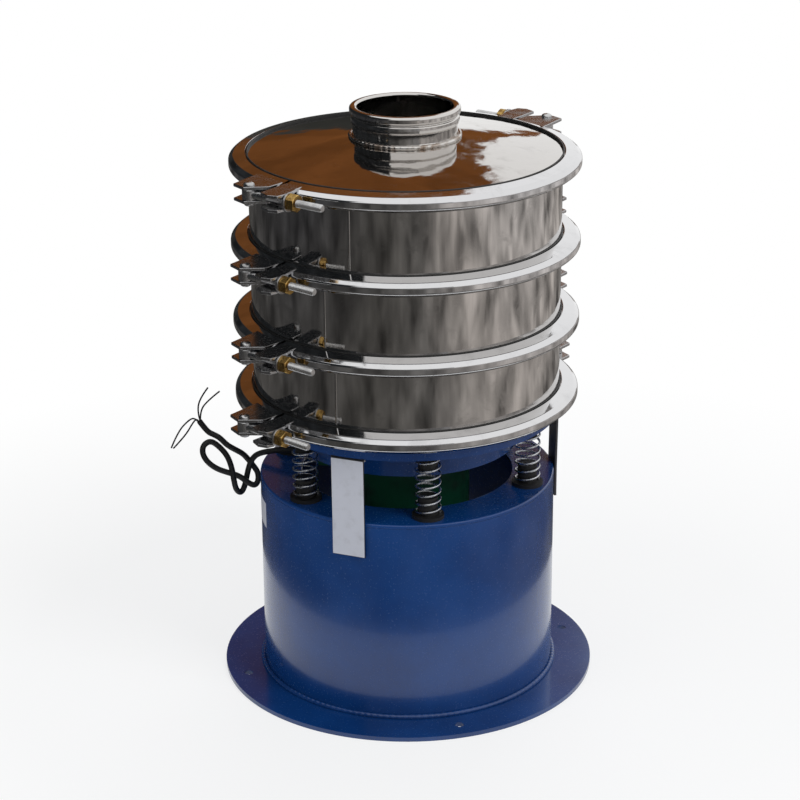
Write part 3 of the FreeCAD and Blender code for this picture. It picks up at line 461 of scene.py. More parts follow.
def swept(path, aside, section_x, section_y, closed=False):
    """Section carried along a path: each point is the path's point plus aside times x plus (tangent x aside)
    times y. x and y are a row per path point, or one row for all of them."""
    tangent = np.gradient(path, axis=0)
    if closed:
        tangent = np.roll(path, -1, axis=0) - np.roll(path, 1, axis=0)
    tangent /= np.linalg.norm(tangent, axis=1, keepdims=True)
    aside = aside - tangent * np.sum(aside * tangent, axis=1, keepdims=True)
    aside /= np.linalg.norm(aside, axis=1, keepdims=True)
    above = np.cross(tangent, aside)
    x, y = np.atleast_2d(section_x), np.atleast_2d(section_y)
    points = path[:, None] + aside[:, None] * x[..., None] + above[:, None] * y[..., None]
    rows, columns = points.shape[:2]
    faces = [tuple(face) for face in grid_faces(rows, columns, closed, True)]
    if not closed:
        faces += [tuple(range(columns)), tuple(range((rows - 1) * columns, rows * columns))[::-1]]
    return points, faces, np.zeros_like(points)


def circle(radius, sides):
    """x and y of a round section, turning against the grid's order so that faces point outwards."""
    angles = -np.linspace(0, 2 * math.pi, sides, endpoint=False)
    return radius * np.cos(angles), radius * np.sin(angles)


def smoothed_copy(node, body, material, angle=32):
    """The node's own mesh with its doubled points merged and its gentle edges shaded smooth."""
    mesh = NODES[node].data.copy()
    mesh.name = node + "_skin"
    piece = linked(node + "_skin", mesh)
    work = bmesh.new()
    work.from_mesh(mesh)
    bmesh.ops.remove_doubles(work, verts=work.verts, dist=1e-6)
    work.to_mesh(mesh)
    work.free()
    for name in [attribute.name for attribute in mesh.attributes if attribute.name == "custom_normal"]:
        mesh.attributes.remove(mesh.attributes[name])
    mesh.polygons.foreach_set("use_smooth", np.ones(len(mesh.polygons), dtype=bool))
    mesh.set_sharp_from_angle(angle=math.radians(angle))
    mesh.materials.clear()
    mesh.materials.append(material.data)
    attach(piece, body)
    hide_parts(node)
    return piece


# ---- cable ------------------------------------------------------------------------------------
CABLE_WIDTH = 8 * MM
GLAND_TIP = (-132.3, 16.2, 304.0)
LEAD = [(-158, 19.4, 303), (-184, 25, 299), (-205, 30, 293)]
CORE_WIDTH = 2.2 * MM
KNOT = [
    (-214, 31, 284), (-219, 33, 270), (-222, 36, 256), (-225, 36, 242), (-230, 31, 233), (-236.5, 26, 240),
    (-239, 24, 255), (-241, 25, 272), (-247, 29, 290), (-259, 33, 303), (-270, 33, 311), (-280, 29, 306),
    (-281.5, 26, 295), (-275, 25, 282.5), (-262, 25, 272), (-245, 26, 265.5), (-231, 26, 261), (-220, 24, 252),
    (-210.5, 24, 247), (-205.5, 29, 252), (-206, 34, 263), (-212, 37, 271), (-219, 37, 281), (-226, 34, 291),
    (-236, 29, 299), (-247, 26, 307), (-257, 27, 318), (-266, 29, 322),
]
SHEATH_TIP = [(-274, 30, 325.6), (-284, 30, 341)]


def cord_curve(name, points, radius, material):
    """Round cord on one smooth spline through the neighbourhood of its control points."""
    curve = bpy.data.curves.new(name, "CURVE")
    curve.dimensions = "3D"
    curve.bevel_depth = radius
    curve.bevel_resolution = 6
    curve.resolution_u = 10
    curve.use_fill_caps = True
    spline = curve.splines.new("NURBS")
    spline.points.add(len(points) - 1)
    for target, point in zip(spline.points, points):
        target.co = (*[c * MM for c in point], 1.0)
    spline.order_u = 3
    spline.use_endpoint_u = True
    curve.materials.append(material.data)
    piece = linked(name, curve)
    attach(piece, "base")
    return piece


CORE_ROUTES = [
    [(-282.8, 28.4, 341.9), (-286, 28.4, 354), (-283, 28, 374), (-270.5, 27, 391)],
    [(-282.8, 31.6, 341.9), (-282.5, 31.6, 355), (-273.3, 32, 369), (-255.2, 33, 383.4)],
    [(-285.3, 28.4, 340.2), (-290, 28.4, 347), (-299, 28, 343), (-314, 28, 326), (-324, 29, 302)],
    [(-285.3, 31.6, 340.2), (-287.5, 31.6, 344), (-293, 32, 338.5), (-304, 32, 319), (-321.3, 31, 300.6)],
]


def add_cable():
    route = [GLAND_TIP] + LEAD + KNOT + SHEATH_TIP
    sheath = cord_curve("cable_sheath", route, CABLE_WIDTH / 2, CABLE_SHEATH)
    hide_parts("motor_cable", "cable_bundle", "cable_end")
    cores = [cord_curve(f"cable_core_{n}", core_route, CORE_WIDTH / 2, CABLE_SHEATH)
             for n, core_route in enumerate(CORE_ROUTES, 1)]
    for core in cores:
        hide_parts("cable_cores")
    return sheath, cores


sheath, cores = add_cable()


# ---- base -------------------------------------------------------------------------------------
def weld_bead(name, radius, height, width, body, material, ripples=110, flat=0.6):
    """Ring weld: a round section whose width swells with every ripple, swept round the axis."""
    count = ripples * 6
    angles = np.linspace(0, 2 * math.pi, count, endpoint=False)
    aside = outwards(angles)
    path = radius * aside + height * UP
    wander = 0.12 * np.sin(angles * 7 + 1.0) + 0.08 * np.sin(angles * 19)
    swell = width * (0.85 + 0.15 * np.abs(np.sin(angles * ripples / 2)) + 0.5 * wander)[:, None]
    x, y = circle(1.0, 12)
    shape = swept(path, aside, swell * x, swell * flat * y, closed=True)
    return put(name, shape, body, material, sharp=70)


DRUM_WALL = 4.0
TOP_THICKNESS = 5.0
TOP_BORE = 143.0


def dress_base():
    top, foot = DRUM_TOP / MM, top_of("base_flange") / MM
    inner, wall_top = DRUM - DRUM_WALL, top - TOP_THICKNESS - 0.3
    wall = [(inner, foot, 0.3), (DRUM, foot, 0.3), (DRUM, wall_top, 0.3), (inner, wall_top, 0.3)]
    put("drum_shell", lathed(wall, 360), "base", BLUE, ("base_drum",))
    plate = [(TOP_BORE, top - TOP_THICKNESS, 0.8), (DRUM, top - TOP_THICKNESS, 0.6), (DRUM, top, 3.6),
             (TOP_BORE, top, 1.2)]
    put("drum_top", lathed(plate, 360, steps=9), "base", BLUE, ("base_top_plate",))
    weld_bead("drum_foot_weld", DRUM_R + 2.2 * MM, (foot + 2.0) * MM, 3.6 * MM, "base", BLUE,
              150, 1.0)
    smoothed_copy("base_flange", "base", BLUE)


# ---- chassis ----------------------------------------------------------------------------------
def dress_chassis():
    smoothed_copy("chassis_pan", "vibrator", BLUE)
    smoothed_copy("chassis_skirt", "vibrator", BLUE)
    weld_bead("skirt_weld", 151.5 * MM, PLATE_UNDER - 1.2 * MM, 2.6 * MM, "vibrator", BLUE, 120)


# ---- springs ----------------------------------------------------------------------------------
SPRING_COUNT = 6
SPRING_AZIMUTH = 9.0
SPRING_PLACE_R = 172.5 * MM
SPRING_MEAN_R = 16.0 * MM
SPRING_WIRE_R = 1.5 * MM
SPRING_PITCH = 12.7 * MM
SPRING_END_TURNS = 0.65


def spring_shape(low, high):
    """Right-handed helix between two heights. The height climbs by the pitch each turn and eases flat over the
    end turns."""
    free = high - low - 2 * SPRING_WIRE_R
    turns = free / SPRING_PITCH + 2 * SPRING_END_TURNS
    share = np.linspace(0, 1, int(turns * 40))
    ease = SPRING_END_TURNS / turns
    climb = np.clip(share / ease, 0, 1) ** 2 * ease / 2 + np.clip(share - ease, 0, 1 - 2 * ease)
    climb += ease / 2 - np.clip((1 - share) / ease, 0, 1) ** 2 * ease / 2
    climb = (climb - climb[0]) / (climb[-1] - climb[0])
    angle = 2 * math.pi * turns * share
    aside = np.stack([np.cos(angle), np.sin(angle), np.zeros_like(angle)], axis=1)
    path = aside * SPRING_MEAN_R
    path[:, 2] = low + SPRING_WIRE_R + free * climb
    return path, aside


def dress_springs():
    low, high = foot_of("springs"), top_of("springs")
    parts = []
    for n in range(SPRING_COUNT):
        azimuth = math.radians(SPRING_AZIMUTH + 360 / SPRING_COUNT * n)
        path, aside = spring_shape(low, high)
        path = path + SPRING_PLACE_R * outward(azimuth)
        parts.append(swept(path, aside, *circle(SPRING_WIRE_R, 12)))
    coils = put("spring_coils", merged(*parts), "base", ZINC, sharp=60)
    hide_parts("springs")
    smoothed_copy("lower_spring_seats", "base", RUBBER)
    smoothed_copy("upper_spring_seats", "vibrator", RUBBER)


# ---- frames, lid and seals --------------------------------------------------------------------
FRAMES = {"upper": ("2", "1"), "middle": ("3", "2"), "lower": ("4", "3")}


def dress_frames():
    for name in FRAMES:
        smoothed_copy(name + "_frame", "vibrator", STEEL_SHEET)
        smoothed_copy(name + "_spout", "vibrator", STEEL_SHEET)
    smoothed_copy("bottom_dome", "vibrator", SATIN)
    smoothed_copy("deck_rings", "vibrator", SATIN)
    smoothed_copy("screen_meshes", "vibrator", CLOTH)
    seals = []
    for height in RING_Z.values():
        z = height / MM
        seals.append(lathed([(199, z - 3, 0.3), (222, z - 3, 0.3), (222, z + 3, 0.3), (199, z + 3, 0.3)], 200))
        cord = [(SHELL, z + 10.2, 0.2), (SHELL + 2, z + 9.8, 0.2),
                (SHELL + 2, z + 13.2, 0.9), (SHELL, z + 13.4, 0.3)]
        seals.append(lathed(cord, 300))
    put("seal_cords", merged(*seals), "vibrator", RUBBER, ("gaskets",))


def seam(name, azimuth, low, high, radius, width=1.6 * MM):
    """Upright weld seam: a half-round bead whose width ripples with its height."""
    count = int((high - low) / (0.5 * MM))
    height = np.linspace(low, high, count)
    out = outward(azimuth)
    path = out * (radius - 0.3 * MM) + height[:, None] * UP
    swell = (width * (0.85 + 0.15 * np.abs(np.sin(height * 1500))))[:, None]
    x, y = circle(1.0, 10)
    shape = swept(path, np.tile(out, (count, 1)), swell * 0.55 * x, swell * y)
    return put(name, shape, "vibrator", STEEL_SHEET, sharp=60)


SEAM_AZIMUTHS = (-20.0, -30.0, -26.0)
SEAM_ABOVE_RING = 15 * MM
SEAM_BELOW_RING = 12.5 * MM


def dress_seams():
    for (name, (below, above)), azimuth in zip(FRAMES.items(), SEAM_AZIMUTHS):
        low, high = RING_Z[below] + SEAM_ABOVE_RING, RING_Z[above] - SEAM_BELOW_RING
        seam(name + "_seam", math.radians(azimuth), low, high, SHELL_R)


NECK_BORE = 62.5
NECK = 68.5
LID_RIM = 222
LID_RISE = 19.5
LID_FOOT_ABOVE_RING = 10.18


def lid_line(radius):
    """Height of the lid's upper face at a radius, in mm."""
    rim_top = RING_Z["1"] / MM + LID_FOOT_ABOVE_RING
    return rim_top + LID_RISE * (SHELL - radius) / (SHELL - NECK)


def dress_lid():
    rim = RING_Z["1"] / MM
    foot, top = lid_line(NECK), top_of("feed_collar") / MM
    cone = [(NECK_BORE, lid_line(NECK_BORE) - 2, 0.3), (203.2, lid_line(203.2) - 2, 0.5), (203.2, rim + 3, 0.3),
            (LID_RIM, rim + 3, 0.3), (LID_RIM, rim + 6.7, 0.3), (SHELL, rim + 10.2, 2.0),
            (NECK_BORE, lid_line(NECK_BORE), 0.3)]
    put("lid_cone", lathed(cone, 360), "vibrator", LID_SHEET, ("lid",))
    neck = [(NECK_BORE, foot, 0.4), (69.5, foot - 0.3, 0.4), (NECK, foot + 5, 1.5), (NECK, top - 23.5, 1.0)]
    bead = [(70.6, top - 22, 2.0), (71.0, top - 18, 3.0), (70.6, top - 14.2, 2.0), (68.7, top - 12.6, 1.2)]
    lip = [(68.7, top - 11.2, 1.2), (72.4, top - 9.5, 3.5), (72.4, top - 1.0, 4.5), (66.5, top + 0.2, 4.0),
           (NECK_BORE, top - 1.5, 2.6)]
    put("collar_neck", lathed(neck + bead + lip, 256, steps=7), "vibrator", COLLAR_STEEL,
        ("feed_collar",))
    weld_bead("collar_weld", 71.0 * MM, (foot + 1.6) * MM, 3.2 * MM, "vibrator", WELD,
              62, 0.9)


# ---- clamp rings and closures -----------------------------------------------------------------
CLOSURE_R = 249.0
SPLIT_ACROSS = -29.5
SPLIT_GAP = 5.0
LUG_GAP = 14.0
LUG_THICKNESS = 4.0
PIN_U = -58.0
SEAT_REACH = 61.7
BOLT_RADIUS = 5.0
BOLT_START = 8.0
BOLT_LENGTH = 107.0
BOLT_PLAIN = 22.0
THREAD_PITCH = 1.5
BAND_BORE = 208
BAND_OUTLINE = [
    (BAND_BORE, 10.0, 0.4), (222.8, 6.8, 1.5), (227.5, 2.8, 2.5),
    (227.5, -2.8, 2.5), (222.8, -6.8, 1.5), (BAND_BORE, -10.0, 0.4),
    (BAND_BORE, -12.5, 0.9), (224, -9.4, 5.0), (BAND, -4.6, 4.0),
    (BAND, 4.6, 4.0), (224, 9.4, 5.0), (BAND_BORE, 12.5, 0.9),
]


class Closure:
    """One closure's own axes: u along its bolt, v out from the axis, w up from the ring's middle."""

    def __init__(self, ring, side):
        self.ring, self.side = ring, side
        slide = JOINTS[f"slacken_{ring}_{side}"]
        self.u = np.array(slide["axis"])
        self.v = np.array([self.u[1], -self.u[0], 0.0])
        self.middle = RING_Z[ring] * UP
        self.azimuth = math.degrees(math.atan2(self.v[0], -self.v[1]))

    def place(self, points):
        points = np.asarray(points, float) * MM
        return self.middle + points[..., :1] * self.u + points[..., 1:2] * self.v + points[..., 2:] * UP


def plate_shape(closure, outline, low, high):
    """Flat plate: its outline at two heights, joined round the edge. The outline runs clockwise in u and v."""
    count = len(outline)
    levels = [np.column_stack([outline, np.full(count, height)]) for height in (low, high)]
    points = closure.place(np.concatenate(levels))
    ring = np.arange(count)
    sides = np.stack([ring, ring + count, (ring + 1) % count + count, (ring + 1) % count], axis=1)
    faces = [tuple(ring), tuple(ring[::-1] + count)] + [tuple(side) for side in sides]
    return points, faces, np.zeros_like(points)


def pin_plate():
    """u and v corners of a hinge lug, from its root on the left."""
    right = SPLIT_ACROSS - SPLIT_GAP / 2
    return [(PIN_U - 26, 199.0), (PIN_U - 22, CLOSURE_R + 4), (PIN_U, CLOSURE_R + 11),
            (right - 2, CLOSURE_R - 10), (right, 213.6)]


def seat_plate():
    """u and v corners of a seat lug; the seat is an arc about the hinge pin."""
    left = SPLIT_ACROSS + SPLIT_GAP / 2
    angles = np.radians(np.linspace(17, -20, 9))
    arc = [(PIN_U + SEAT_REACH * math.cos(a), CLOSURE_R + SEAT_REACH * math.sin(a)) for a in angles]
    tip = (PIN_U + 0.75 * SEAT_REACH, CLOSURE_R + 22)
    return [(left, 214.3), (left, CLOSURE_R + 16), tip] + arc + [(0.0, 216.0)]


def soften(piece, width, segments=2):
    bevel = piece.modifiers.new("soft_edges", "BEVEL")
    bevel.width, bevel.segments = width, segments
    bevel.limit_method, bevel.angle_limit = "ANGLE", math.radians(35)
    bevel.harden_normals = True


def dress_ring(ring):
    front = Closure(ring, "front")
    height = RING_Z[ring] / MM
    split = math.degrees(SPLIT_ACROSS / BAND)
    gap = math.degrees(SPLIT_GAP / BAND)
    outline = [(r, height + z, rounding) for r, z, rounding in BAND_OUTLINE][::-1]
    halves = []
    for turn in (0, 180):
        start = front.azimuth + turn + split + gap / 2
        halves.append(lathed(outline, 200, (start, start + 180 - gap), steps=6))
    put(f"clamp_band_{ring}", merged(*halves), "vibrator", BAND_STEEL,
        (f"clamp_ring_{ring}",))
    plates = []
    for side in ("front", "rear"):
        closure = Closure(ring, side)
        for outline in (pin_plate(), seat_plate()):
            for low in (LUG_GAP / 2, -LUG_GAP / 2 - LUG_THICKNESS):
                plates.append(plate_shape(closure, np.array(outline), low, low + LUG_THICKNESS))
    lugs = put(f"clamp_lugs_{ring}", merged(*plates), "vibrator", PLATE_STEEL, sharp=30)
    soften(lugs, 0.8 * MM)
    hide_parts(f"clamp_ring_{ring}")


def spokes(along, aside, sides):
    """Angles round a line, and the side vector turned about the line by each of them."""
    angles = np.linspace(0, 2 * math.pi, sides, endpoint=False)
    return angles, np.cos(angles)[:, None] * aside + np.sin(angles)[:, None] * np.cross(along, aside)


def turned_shape(start, along, aside, profile, sides=48):
    """Profile of (distance, radius) pairs turned about a line: the point at an angle lies at start plus along
    times the distance plus the turned side vector times the radius."""
    profile = np.array(profile) * MM
    _, spoke = spokes(along, aside, sides)
    points = start + profile[:, :1, None] * along + profile[:, 1:, None] * spoke[None]
    faces = [tuple(face) for face in grid_faces(len(profile), sides, False, True)]
    last = (len(profile) - 1) * sides
    faces += [tuple(range(sides)), tuple(range(last, last + sides))[::-1]]
    return points, faces, np.zeros_like(points)


def screw_shape(start, along, aside, length, radius, pitch, plain, chamfer):
    """Threaded rod. The radius falls from the crest by the thread's depth as a triangle wave of distance over
    pitch less angle over a turn; the plain length has no thread, and the end is chamfered."""
    sides, rows = 36, int((length - plain) / pitch * 8)
    distance = np.concatenate([[0.0], np.linspace(plain, length, rows)])
    angles, spoke = spokes(along, aside, sides)
    phase = (distance[:, None] / pitch - angles[None] / (2 * math.pi)) % 1.0
    depth = 0.61 * pitch * np.abs(2 * phase - 1)
    depth[distance <= plain + 1e-6] = 0.0
    limit = radius - chamfer + (length - distance)[:, None]
    around = np.minimum(radius - depth, limit)
    points = start + (distance * MM)[:, None, None] * along + (around * MM)[..., None] * spoke[None]
    faces = [tuple(face) for face in grid_faces(len(distance), sides, False, True)]
    last = (len(distance) - 1) * sides
    faces += [tuple(range(sides))[::-1], tuple(range(last, last + sides))]
    return points, faces, np.zeros_like(points)


def hex_shape(start, along, aside, flats, thickness, bore, chamfer_angle=30.0):
    """Hexagon nut. The radius at an angle is that of the hexagon, held inside a cone at each face."""
    sides = 72
    angles, spoke = spokes(along, aside, sides)
    hexagon = flats / 2 / np.cos((angles + math.pi / 6) % (math.pi / 3) - math.pi / 6)
    rise = math.tan(math.radians(chamfer_angle))
    reach = (hexagon.max() - flats / 2 * 0.97) * rise
    from_face = np.array([0.0, 0.25, 0.5, 0.75, 1.0]) * reach
    cone = flats / 2 * 0.97 + from_face / rise
    outer = np.minimum(hexagon[None], cone[:, None])
    radii = np.concatenate([np.full((1, sides), bore), np.full((1, sides), bore + 0.6), outer, outer[::-1],
                            np.full((1, sides), bore + 0.6), np.full((1, sides), bore)])
    distance = np.concatenate([[0.6, 0.0], from_face, thickness - from_face[::-1], [thickness, thickness - 0.6]])
    points = start + (distance * MM)[:, None, None] * along + (radii * MM)[..., None] * spoke[None]
    return points, grid_faces(len(distance), sides, True, True), np.zeros_like(points)


EYE_PROFILE = [(-6.7, 4.1), (-6.7, 8.4), (-6.1, 9.0), (6.1, 9.0), (6.7, 8.4), (6.7, 4.1)]
WASHER_THICKNESS = 2.5
WASHER_PROFILE = [(0.0, 5.5), (0.0, 12.1), (0.4, 12.5), (2.1, 12.5),
                  (WASHER_THICKNESS, 12.1), (WASHER_THICKNESS, 5.5)]
SEAT_CLEARANCE = 0.3
NUT_FLATS = 20.0
NUT_THICKNESS = 12.0
NUT_BORE = 5.05
PIN_RADIUS = 4.0
CAP_PROFILE = [(0.0, 7.0), (1.4, 7.0), (2.9, 6.2), (4.0, 4.4), (4.5, 2.0), (4.5, 0.02)]


def dress_closure(ring, side):
    closure = Closure(ring, side)
    tag = f"{ring}_{side}"
    pin = closure.place(np.array([PIN_U, CLOSURE_R, 0.0]))
    eye = turned_shape(pin, UP, closure.u, EYE_PROFILE)
    start = pin + closure.u * BOLT_START * MM
    rod = screw_shape(start, closure.u, closure.v, BOLT_LENGTH, BOLT_RADIUS, THREAD_PITCH, BOLT_PLAIN, 1.3)
    put(f"swing_bolt_{tag}_skin", merged(eye, rod), f"bolt_{tag}", BOLT_STEEL,
        (f"swing_bolt_{tag}",), sharp=40)
    seat = pin + closure.u * (SEAT_REACH + SEAT_CLEARANCE) * MM
    washer = turned_shape(seat, closure.u, closure.v, WASHER_PROFILE)
    back = seat + closure.u * WASHER_THICKNESS * MM
    nut = hex_shape(back, closure.u, closure.v, NUT_FLATS, NUT_THICKNESS, NUT_BORE)
    put(f"nut_washer_{tag}", washer, f"nut_{tag}", SATIN, (f"clamp_nut_{tag}",), sharp=35)
    put(f"nut_{tag}_skin", nut, f"nut_{tag}", BRASS, (f"clamp_nut_{tag}",), sharp=25)
    return pin


def dress_pins(places):
    """Plain pins through the lugs, with a domed head on each end."""
    parts = []
    half = LUG_GAP / 2 + LUG_THICKNESS
    right = np.array([1.0, 0, 0])
    for pin in places:
        parts.append(turned_shape(pin + UP * half * MM, UP, right, CAP_PROFILE, 32))
        parts.append(turned_shape(pin - UP * half * MM, -UP, right, CAP_PROFILE, 32))
        parts.append(turned_shape(pin, UP, right, [(-half, PIN_RADIUS), (half, PIN_RADIUS)], 24))
    put("pin_heads", merged(*parts), "vibrator", BOLT_STEEL, ("closure_pins",), sharp=40)


def dress_closures():
    pins = []
    for ring in "1234":
        dress_ring(ring)
        for side in ("front", "rear"):
            pins.append(dress_closure(ring, side))
    dress_pins(pins)


# ---- motor ------------------------------------------------------------------------------------
def dress_motor():
    for node in ("motor_housing", "motor_upper_cover", "motor_lower_cover", "terminal_box", "terminal_box_lid"):
        smoothed_copy(node, "vibrator", GREEN)
    smoothed_copy("motor_stator", "vibrator", COPPER)
    smoothed_copy("motor_bearings", "vibrator", SATIN)
    smoothed_copy("motor_bolts", "vibrator", ZINC)
    smoothed_copy("strap_bolts", "vibrator", ZINC)
    smoothed_copy("cable_gland", "vibrator", RUBBER)
    smoothed_copy("motor_shaft", "rotor", SATIN)
    smoothed_copy("motor_rotor_core", "rotor", COPPER)
    smoothed_copy("upper_weight", "rotor", IRON)
    smoothed_copy("lower_weight", "lead_weight", IRON)


# ---- straps and labels ------------------------------------------------------------------------
STRAP_AZIMUTHS = (-22.0, 98.0, 218.0)
STRAP_WIDTH = 45.0
STRAP_THICKNESS = 3.0
FILM_WIDTH = 44.4
FILM_THICKNESS = 0.12
FILM_OFFSET = 1.6
TAB_RADII = (204.0, 182.0)


def strip(azimuth, spine, width, thickness, aside):
    """Strip that follows a spine of (radius, height) points at one azimuth, its width tangential and its
    thickness along the side vector."""
    spine = np.array(spine) * MM
    path = spine[:, :1] * outward(math.radians(azimuth)) + spine[:, 1:] * UP
    half, deep = width * MM / 2, thickness * MM / 2
    x = np.array([-deep, deep, deep, -deep])
    y = np.array([-half, -half, half, half])
    return swept(path, np.tile(aside, (len(path), 1)), x, y)


def strap_spine(offset):
    """Centre line of a strap's thickness, moved out by an offset: up the drum, then leaning out to the pan."""
    drum, rim = 202.3 + offset, 203.7 + offset
    top, under = DRUM_TOP / MM, PLATE_UNDER / MM
    heights = [top - 46.5, top - 20, top - 3, top, top + 3, top + 30, under - 8, under - 1.5 - offset]
    radii = [drum, drum, drum, drum + 0.05, drum + 0.1, drum + 0.5, rim - 0.1, rim]
    return list(zip(radii, heights))


def dress_straps():
    steel, films = [], []
    tab = [(radius, PLATE_UNDER / MM - STRAP_THICKNESS / 2) for radius in TAB_RADII]
    for azimuth in STRAP_AZIMUTHS:
        out = outward(math.radians(azimuth))
        steel.append(strip(azimuth, strap_spine(0.0), STRAP_WIDTH, STRAP_THICKNESS, out))
        steel.append(strip(azimuth, tab, STRAP_WIDTH, STRAP_THICKNESS, UP))
        films.append(strip(azimuth, strap_spine(FILM_OFFSET), FILM_WIDTH, FILM_THICKNESS, out))
    # The straps' dark grey is partly dark paint and partly painted shade.
    strips = put("strap_strips", merged(*steel), "vibrator", STRAP_STEEL_AND_SHADE, ("transport_straps",),
                 sharp=30)
    soften(strips, 0.4 * MM)
    put("strap_faces", merged(*films), "vibrator", LABEL, ("transport_straps",), sharp=30)


STICKER_PROUD = 0.15 * MM


def drum_sticker():
    """Bare sticker on the drum's left: a patch of the drum's cylinder, a little proud of it."""
    rows, columns = 8, 24
    angles = np.radians(np.linspace(-90.0, -72.0, columns))
    heights = np.linspace(221.0, 257.0, rows) * MM
    normals = np.tile(outwards(angles), (rows, 1, 1))
    points = (DRUM_R + STICKER_PROUD) * normals + heights[:, None, None] * UP
    put("drum_sticker", (points, grid_faces(rows, columns), normals), "base", LABEL)


# ---- studio -----------------------------------------------------------------------------------
def node_tree(owner):
    owner.use_nodes = True
    owner.node_tree.nodes.clear()
    return owner.node_tree


FLOOR_NEAR = 0.55
FLOOR_RISE = 1.6
FLOOR_GLOW = 0.70


def add_stage():
    """Pale floor. Rays that show a background see it near white, with the object's shadow still on it, and
    wholly white past about 1.2 m from the middle."""
    mesh = bpy.data.meshes.new("floor")
    mesh.from_pydata([(-30, -30, 0), (30, -30, 0), (30, 30, 0), (-30, 30, 0)], [], [(0, 1, 2, 3)])
    floor = linked("floor", mesh)
    m = Material("floor_white", (0.9, 0.9, 0.9), 0.9)
    tree = m.data.node_tree
    output = next(node for node in tree.nodes if node.type == "OUTPUT_MATERIAL")
    path = tree.nodes.new("ShaderNodeLightPath")
    seen = Value(m, path.outputs["Is Camera Ray"]) + Value(m, path.outputs["Is Glossy Ray"])
    seen = seen + Value(m, path.outputs["Is Transmission Ray"])
    reach = m.node("ShaderNodeVectorMath", {"operation": "LENGTH"}, {0: m.place}, 1)
    far = (reach - FLOOR_NEAR) * FLOOR_RISE
    glow, soft = tree.nodes.new("ShaderNodeEmission"), tree.nodes.new("ShaderNodeBsdfDiffuse")
    soft.inputs["Color"].default_value = (1, 1, 1, 1)
    near_far = tree.nodes.new("ShaderNodeMixShader")
    share = (far._math("MAXIMUM", 0.0) * (1 - FLOOR_GLOW) + FLOOR_GLOW)._math("MINIMUM", 1.0)
    tree.links.new(share.socket, near_far.inputs[0])
    tree.links.new(soft.outputs[0], near_far.inputs[1])
    tree.links.new(glow.outputs[0], near_far.inputs[2])
    choose = tree.nodes.new("ShaderNodeMixShader")
    tree.links.new(seen._math("MINIMUM", 1.0).socket, choose.inputs[0])
    tree.links.new(soft.outputs[0], choose.inputs[1])
    tree.links.new(near_far.outputs[0], choose.inputs[2])
    tree.links.new(choose.outputs[0], output.inputs["Surface"])
    mesh.materials.append(m.data)


FLAG_HALF_WIDTH = 3.0


def flag(name, points, faces, stops, patch, scale):
    """Studio flag that only gloss sees: its glow goes through the stops from left to right, with noise."""
    mesh = bpy.data.meshes.new(name)
    mesh.from_pydata([tuple(point) for point in points], [], [tuple(face) for face in faces])
    card = linked(name, mesh)
    material = bpy.data.materials.new(name)
    tree = node_tree(material)
    place = tree.nodes.new("ShaderNodeTexCoord")
    split = tree.nodes.new("ShaderNodeSeparateXYZ")
    spread = tree.nodes.new("ShaderNodeMapRange")
    spread.inputs["From Min"].default_value = -FLAG_HALF_WIDTH
    spread.inputs["From Max"].default_value = FLAG_HALF_WIDTH
    noise = tree.nodes.new("ShaderNodeTexNoise")
    noise.inputs["Scale"].default_value, noise.inputs["Detail"].default_value = scale, 6.0
    noise.inputs["Roughness"].default_value = 0.6
    level = tree.nodes.new("ShaderNodeMapRange")
    level.inputs["From Min"].default_value, level.inputs["From Max"].default_value = 0.35, 0.65
    level.inputs["To Min"].default_value, level.inputs["To Max"].default_value = 1 - patch, 1 + patch
    ramp = tree.nodes.new("ShaderNodeValToRGB")
    Material._stops(ramp.color_ramp, stops)
    glow, output = tree.nodes.new("ShaderNodeEmission"), tree.nodes.new("ShaderNodeOutputMaterial")
    for source, target in ((place.outputs["Object"], split.inputs[0]), (split.outputs[0], spread.inputs[0]),
                           (place.outputs["Object"], noise.inputs[0]), (noise.outputs[0], level.inputs[0]),
                           (spread.outputs[0], ramp.inputs[0]), (ramp.outputs[0], glow.inputs["Color"]),
                           (level.outputs[0], glow.inputs["Strength"]),
                           (glow.outputs[0], output.inputs["Surface"])):
        tree.links.new(source, target)
    mesh.materials.append(material)
    card.visible_camera = card.visible_diffuse = card.visible_shadow = card.visible_transmission = False
    card.visible_volume_scatter = False


def arc_wall(radius, start, end, low, high, steps=40):
    """Upright arc: its points lie at the radius for azimuths from start to end, at two heights."""
    angles = np.radians(np.linspace(start, end, steps))
    foot = radius * outwards(angles) + low * UP
    points = np.concatenate([foot, foot + (high - low) * UP])
    run = np.arange(steps - 1)
    return points, np.stack([run, run + 1, run + 1 + steps, run + steps], axis=1)


def ground_ring(inner, outer, height, steps=72):
    """Flat ring round the object."""
    angles = np.linspace(0, 2 * math.pi, steps, endpoint=False)
    spoke = np.stack([np.cos(angles), np.sin(angles), np.zeros(steps)], axis=1)
    points = np.concatenate([spoke * inner, spoke * outer]) + height * UP
    run = np.arange(steps)
    after = (run + 1) % steps
    return points, np.stack([run, run + steps, after + steps, after], axis=1)


